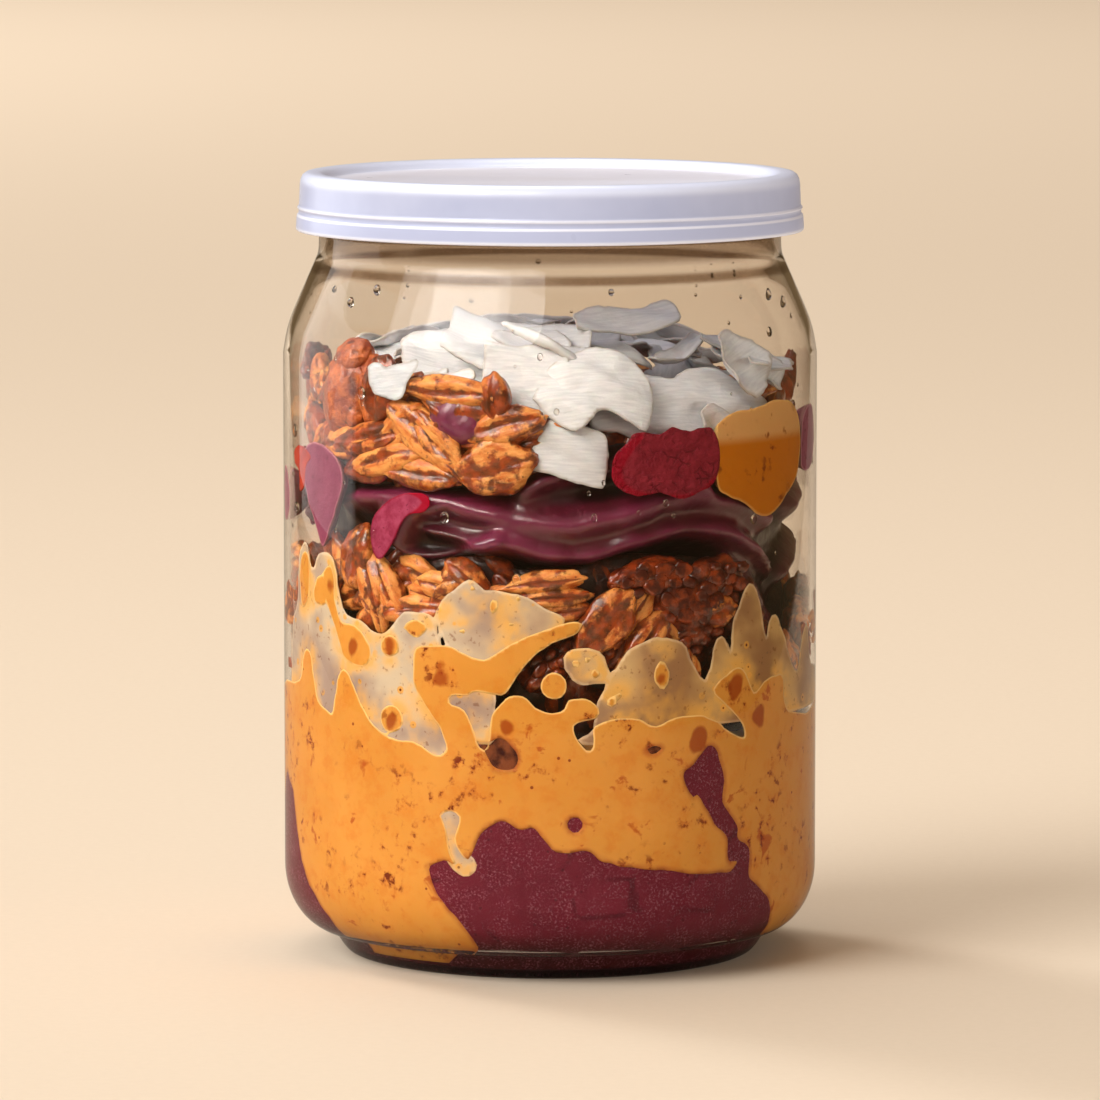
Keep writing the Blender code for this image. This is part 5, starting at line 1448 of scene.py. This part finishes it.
coconut = Paint("coconut_flake", {"Specular IOR Level": 0.12, "Subsurface Weight": 0.12,
                                  "Subsurface Scale": 0.001})
coconut_fibre = coconut.streaks(coconut.mark("across") * 2.6, coconut.mark("along") * 0.30, 3.0)
coconut.ground(coconut_fibre.step(0.25, 0.8), (208, 208, 209), (230, 230, 229))
# Painted shade: the flakes darker at their edges, to set them apart.
coconut.over(coconut.mark("inset").step(0.5, 0.05) * 0.5, (172, 160, 140))
coconut.show()
coconut.feed("Roughness", coconut.noise(3.0, 3.0) * 0.25 + 0.4)
coconut.emboss(coconut_fibre * 0.4 + coconut.noise(1.2, 4.0) * 0.6, 0.24)

FLAKE_HALF = 0.36          # half a flake's thickness


def flake_shape(kind, length, width, curl, seed):
    """Points, faces and marks of a curled flake lying flat."""
    step = max(0.4, length / 44.0)
    along = np.arange(-0.58 * length, 0.58 * length + step, step)
    across = np.arange(-0.58 * width - 0.5, 0.58 * width + 0.5 + step, step)
    x, y = np.meshgrid(along, across, indexing="ij")
    place = np.stack((x, y, x * 0 + seed), -1)
    values = outline_distance(OUTLINES[kind], (0.5 * length, 0.5 * width), x, y)
    values = values + 0.22 * ruffle(place, 2.2, seed) + 0.12 * ruffle(place, 0.8, seed + 1)
    spots, faces, edges = cut_sheet(values, along, across)
    x, y, inset = spots[:, 0], spots[:, 1], -spots[:, 2]
    place = np.stack((x, y, x * 0 + seed), -1)
    bend = curl * ((2.0 * x / length) ** 2 - 0.4) + 0.36 * curl * (2.0 * y / width) ** 2
    rise = (bend + 0.35 * np.sin(9.0 * x / length + y) + 0.2 * ruffle(place, 2.6, seed)
            + 0.05 * ruffle(place, 0.9, seed))
    half = FLAKE_HALF * (1.0 - 0.6 * np.exp(-inset / 0.6))
    points = np.concatenate((np.stack((x, y, rise + half), -1), np.stack((x, y, rise - half), -1)))
    marks = {"along": np.tile(x, 2), "across": np.tile(y, 2), "inset": np.tile(inset, 2)}
    return points, two_sided(faces, edges, len(spots)), marks


def laid(points, angle, radius, height, tilt, heading, spin):
    """Points turned and set at a place in the jar."""
    turn = (turned_by("Z", heading) @ turned_by("X", tilt) @ turned_by("Z", spin)).to_3x3()
    return points @ np.array(turn).T + polar(angle, radius, height)


def flake(number, kind, angle, radius, height, length, width, tilt, heading, spin, curl, drop):
    points, faces, marks = flake_shape(kind, length, width, curl, number)
    points = laid(points, angle, radius, height, tilt, heading, spin)
    node = "coconut_chip_%02d" % number
    low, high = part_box(node)
    points[:, 2] += 0.5 * (low[2] + high[2]) / MM - 0.5 * (points[:, 2].min() + points[:, 2].max()) - drop
    made = add_mesh("coconut_flake_%02d" % number, kept_in(points, 0.02), faces, coconut, marks)
    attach(made, "root")
    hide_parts(node)


for number, values in enumerate(FLAKES, 1):
    flake(number, *values)

SHREDS = 30                # smaller flakes and shreds between the big ones, with these few by the wall
SHREDS_SET = (             # outline, length, width, curl, angle, radius, height, tilt, heading and spin
    ("curl", 9.6, 5.8, 0.2, -35.6, 39.3, 88.8, 87.0, -35.6, 8.0),
    ("strip", 12.0, 3.2, 1.4, -27.0, 35.2, 88.4, 66.0, -28.0, 10.0),
    ("shard", 7.0, 6.0, 1.2, 66.0, 35.4, 88.6, 70.0, 66.0, 30.0),
    ("shard", 6.0, 4.2, 0.8, 41.0, 36.4, 82.8, 76.0, 40.0, 10.0),
    ("strip", 13.5, 1.9, -2.4, -2.5, 31.4, 94.4, 66.0, -2.0, -28.0))
shred_heap = Heap()
for index in range(SHREDS + len(SHREDS_SET)):
    if index < SHREDS:
        angle = 40.0 + index * GOLDEN_TURN
        radius = 8.0 + 25.0 * grains.random()
        if index % 5 == 0:
            angle, radius = draw(62.0, 92.0), draw(30.0, 35.0)
        kind = grains.choice(("strip", "shard", "half"))
        length, width = draw(8, 15), draw(3.5, 8.5)
        curl, height = draw(-1.6, 2.2), 91.6 - 0.05 * radius + draw(-0.6, 1.8)
        tilt, heading, spin = draw(8, 42), angle + draw(-40, 40), draw(-60, 60)
    else:
        kind, length, width, curl, angle, radius, height, tilt, heading, spin = SHREDS_SET[index - SHREDS]
    points, faces, marks = flake_shape(kind, length, width, curl, index + 40)
    points = laid(points, angle, radius, height, tilt, heading, spin)
    shred_heap.gather(kept_in(points, 0.02), faces, marks)
shreds = shred_heap.build("coconut_shreds", coconut)
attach(shreds, "root")


# --------------------------------------------------------- drops on the inside
# Small drops of water that gathered on the inside of the wall above the cream. Each is
# a low clear dome that sits on the inner face.

DROPS = 90
drop_heap = Heap()
for index in range(DROPS):
    angle, height = draw(-180.0, 180.0), draw(60.0, 102.0)
    radius = grains.choice((0.22, 0.3, 0.3, 0.45, 0.7))
    dome, faces = ball(10, 7)
    dome = dome[:, (1, 2, 0)] * (radius, radius, radius * 0.55)
    dome[:, 1] *= draw(1.0, 1.5)
    drop_heap.gather(laid(dome, angle, float(wall(height)), height, 90.0, angle, 0.0), faces, {})
drops = drop_heap.build("wall_drops", clear)
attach(drops, "root")
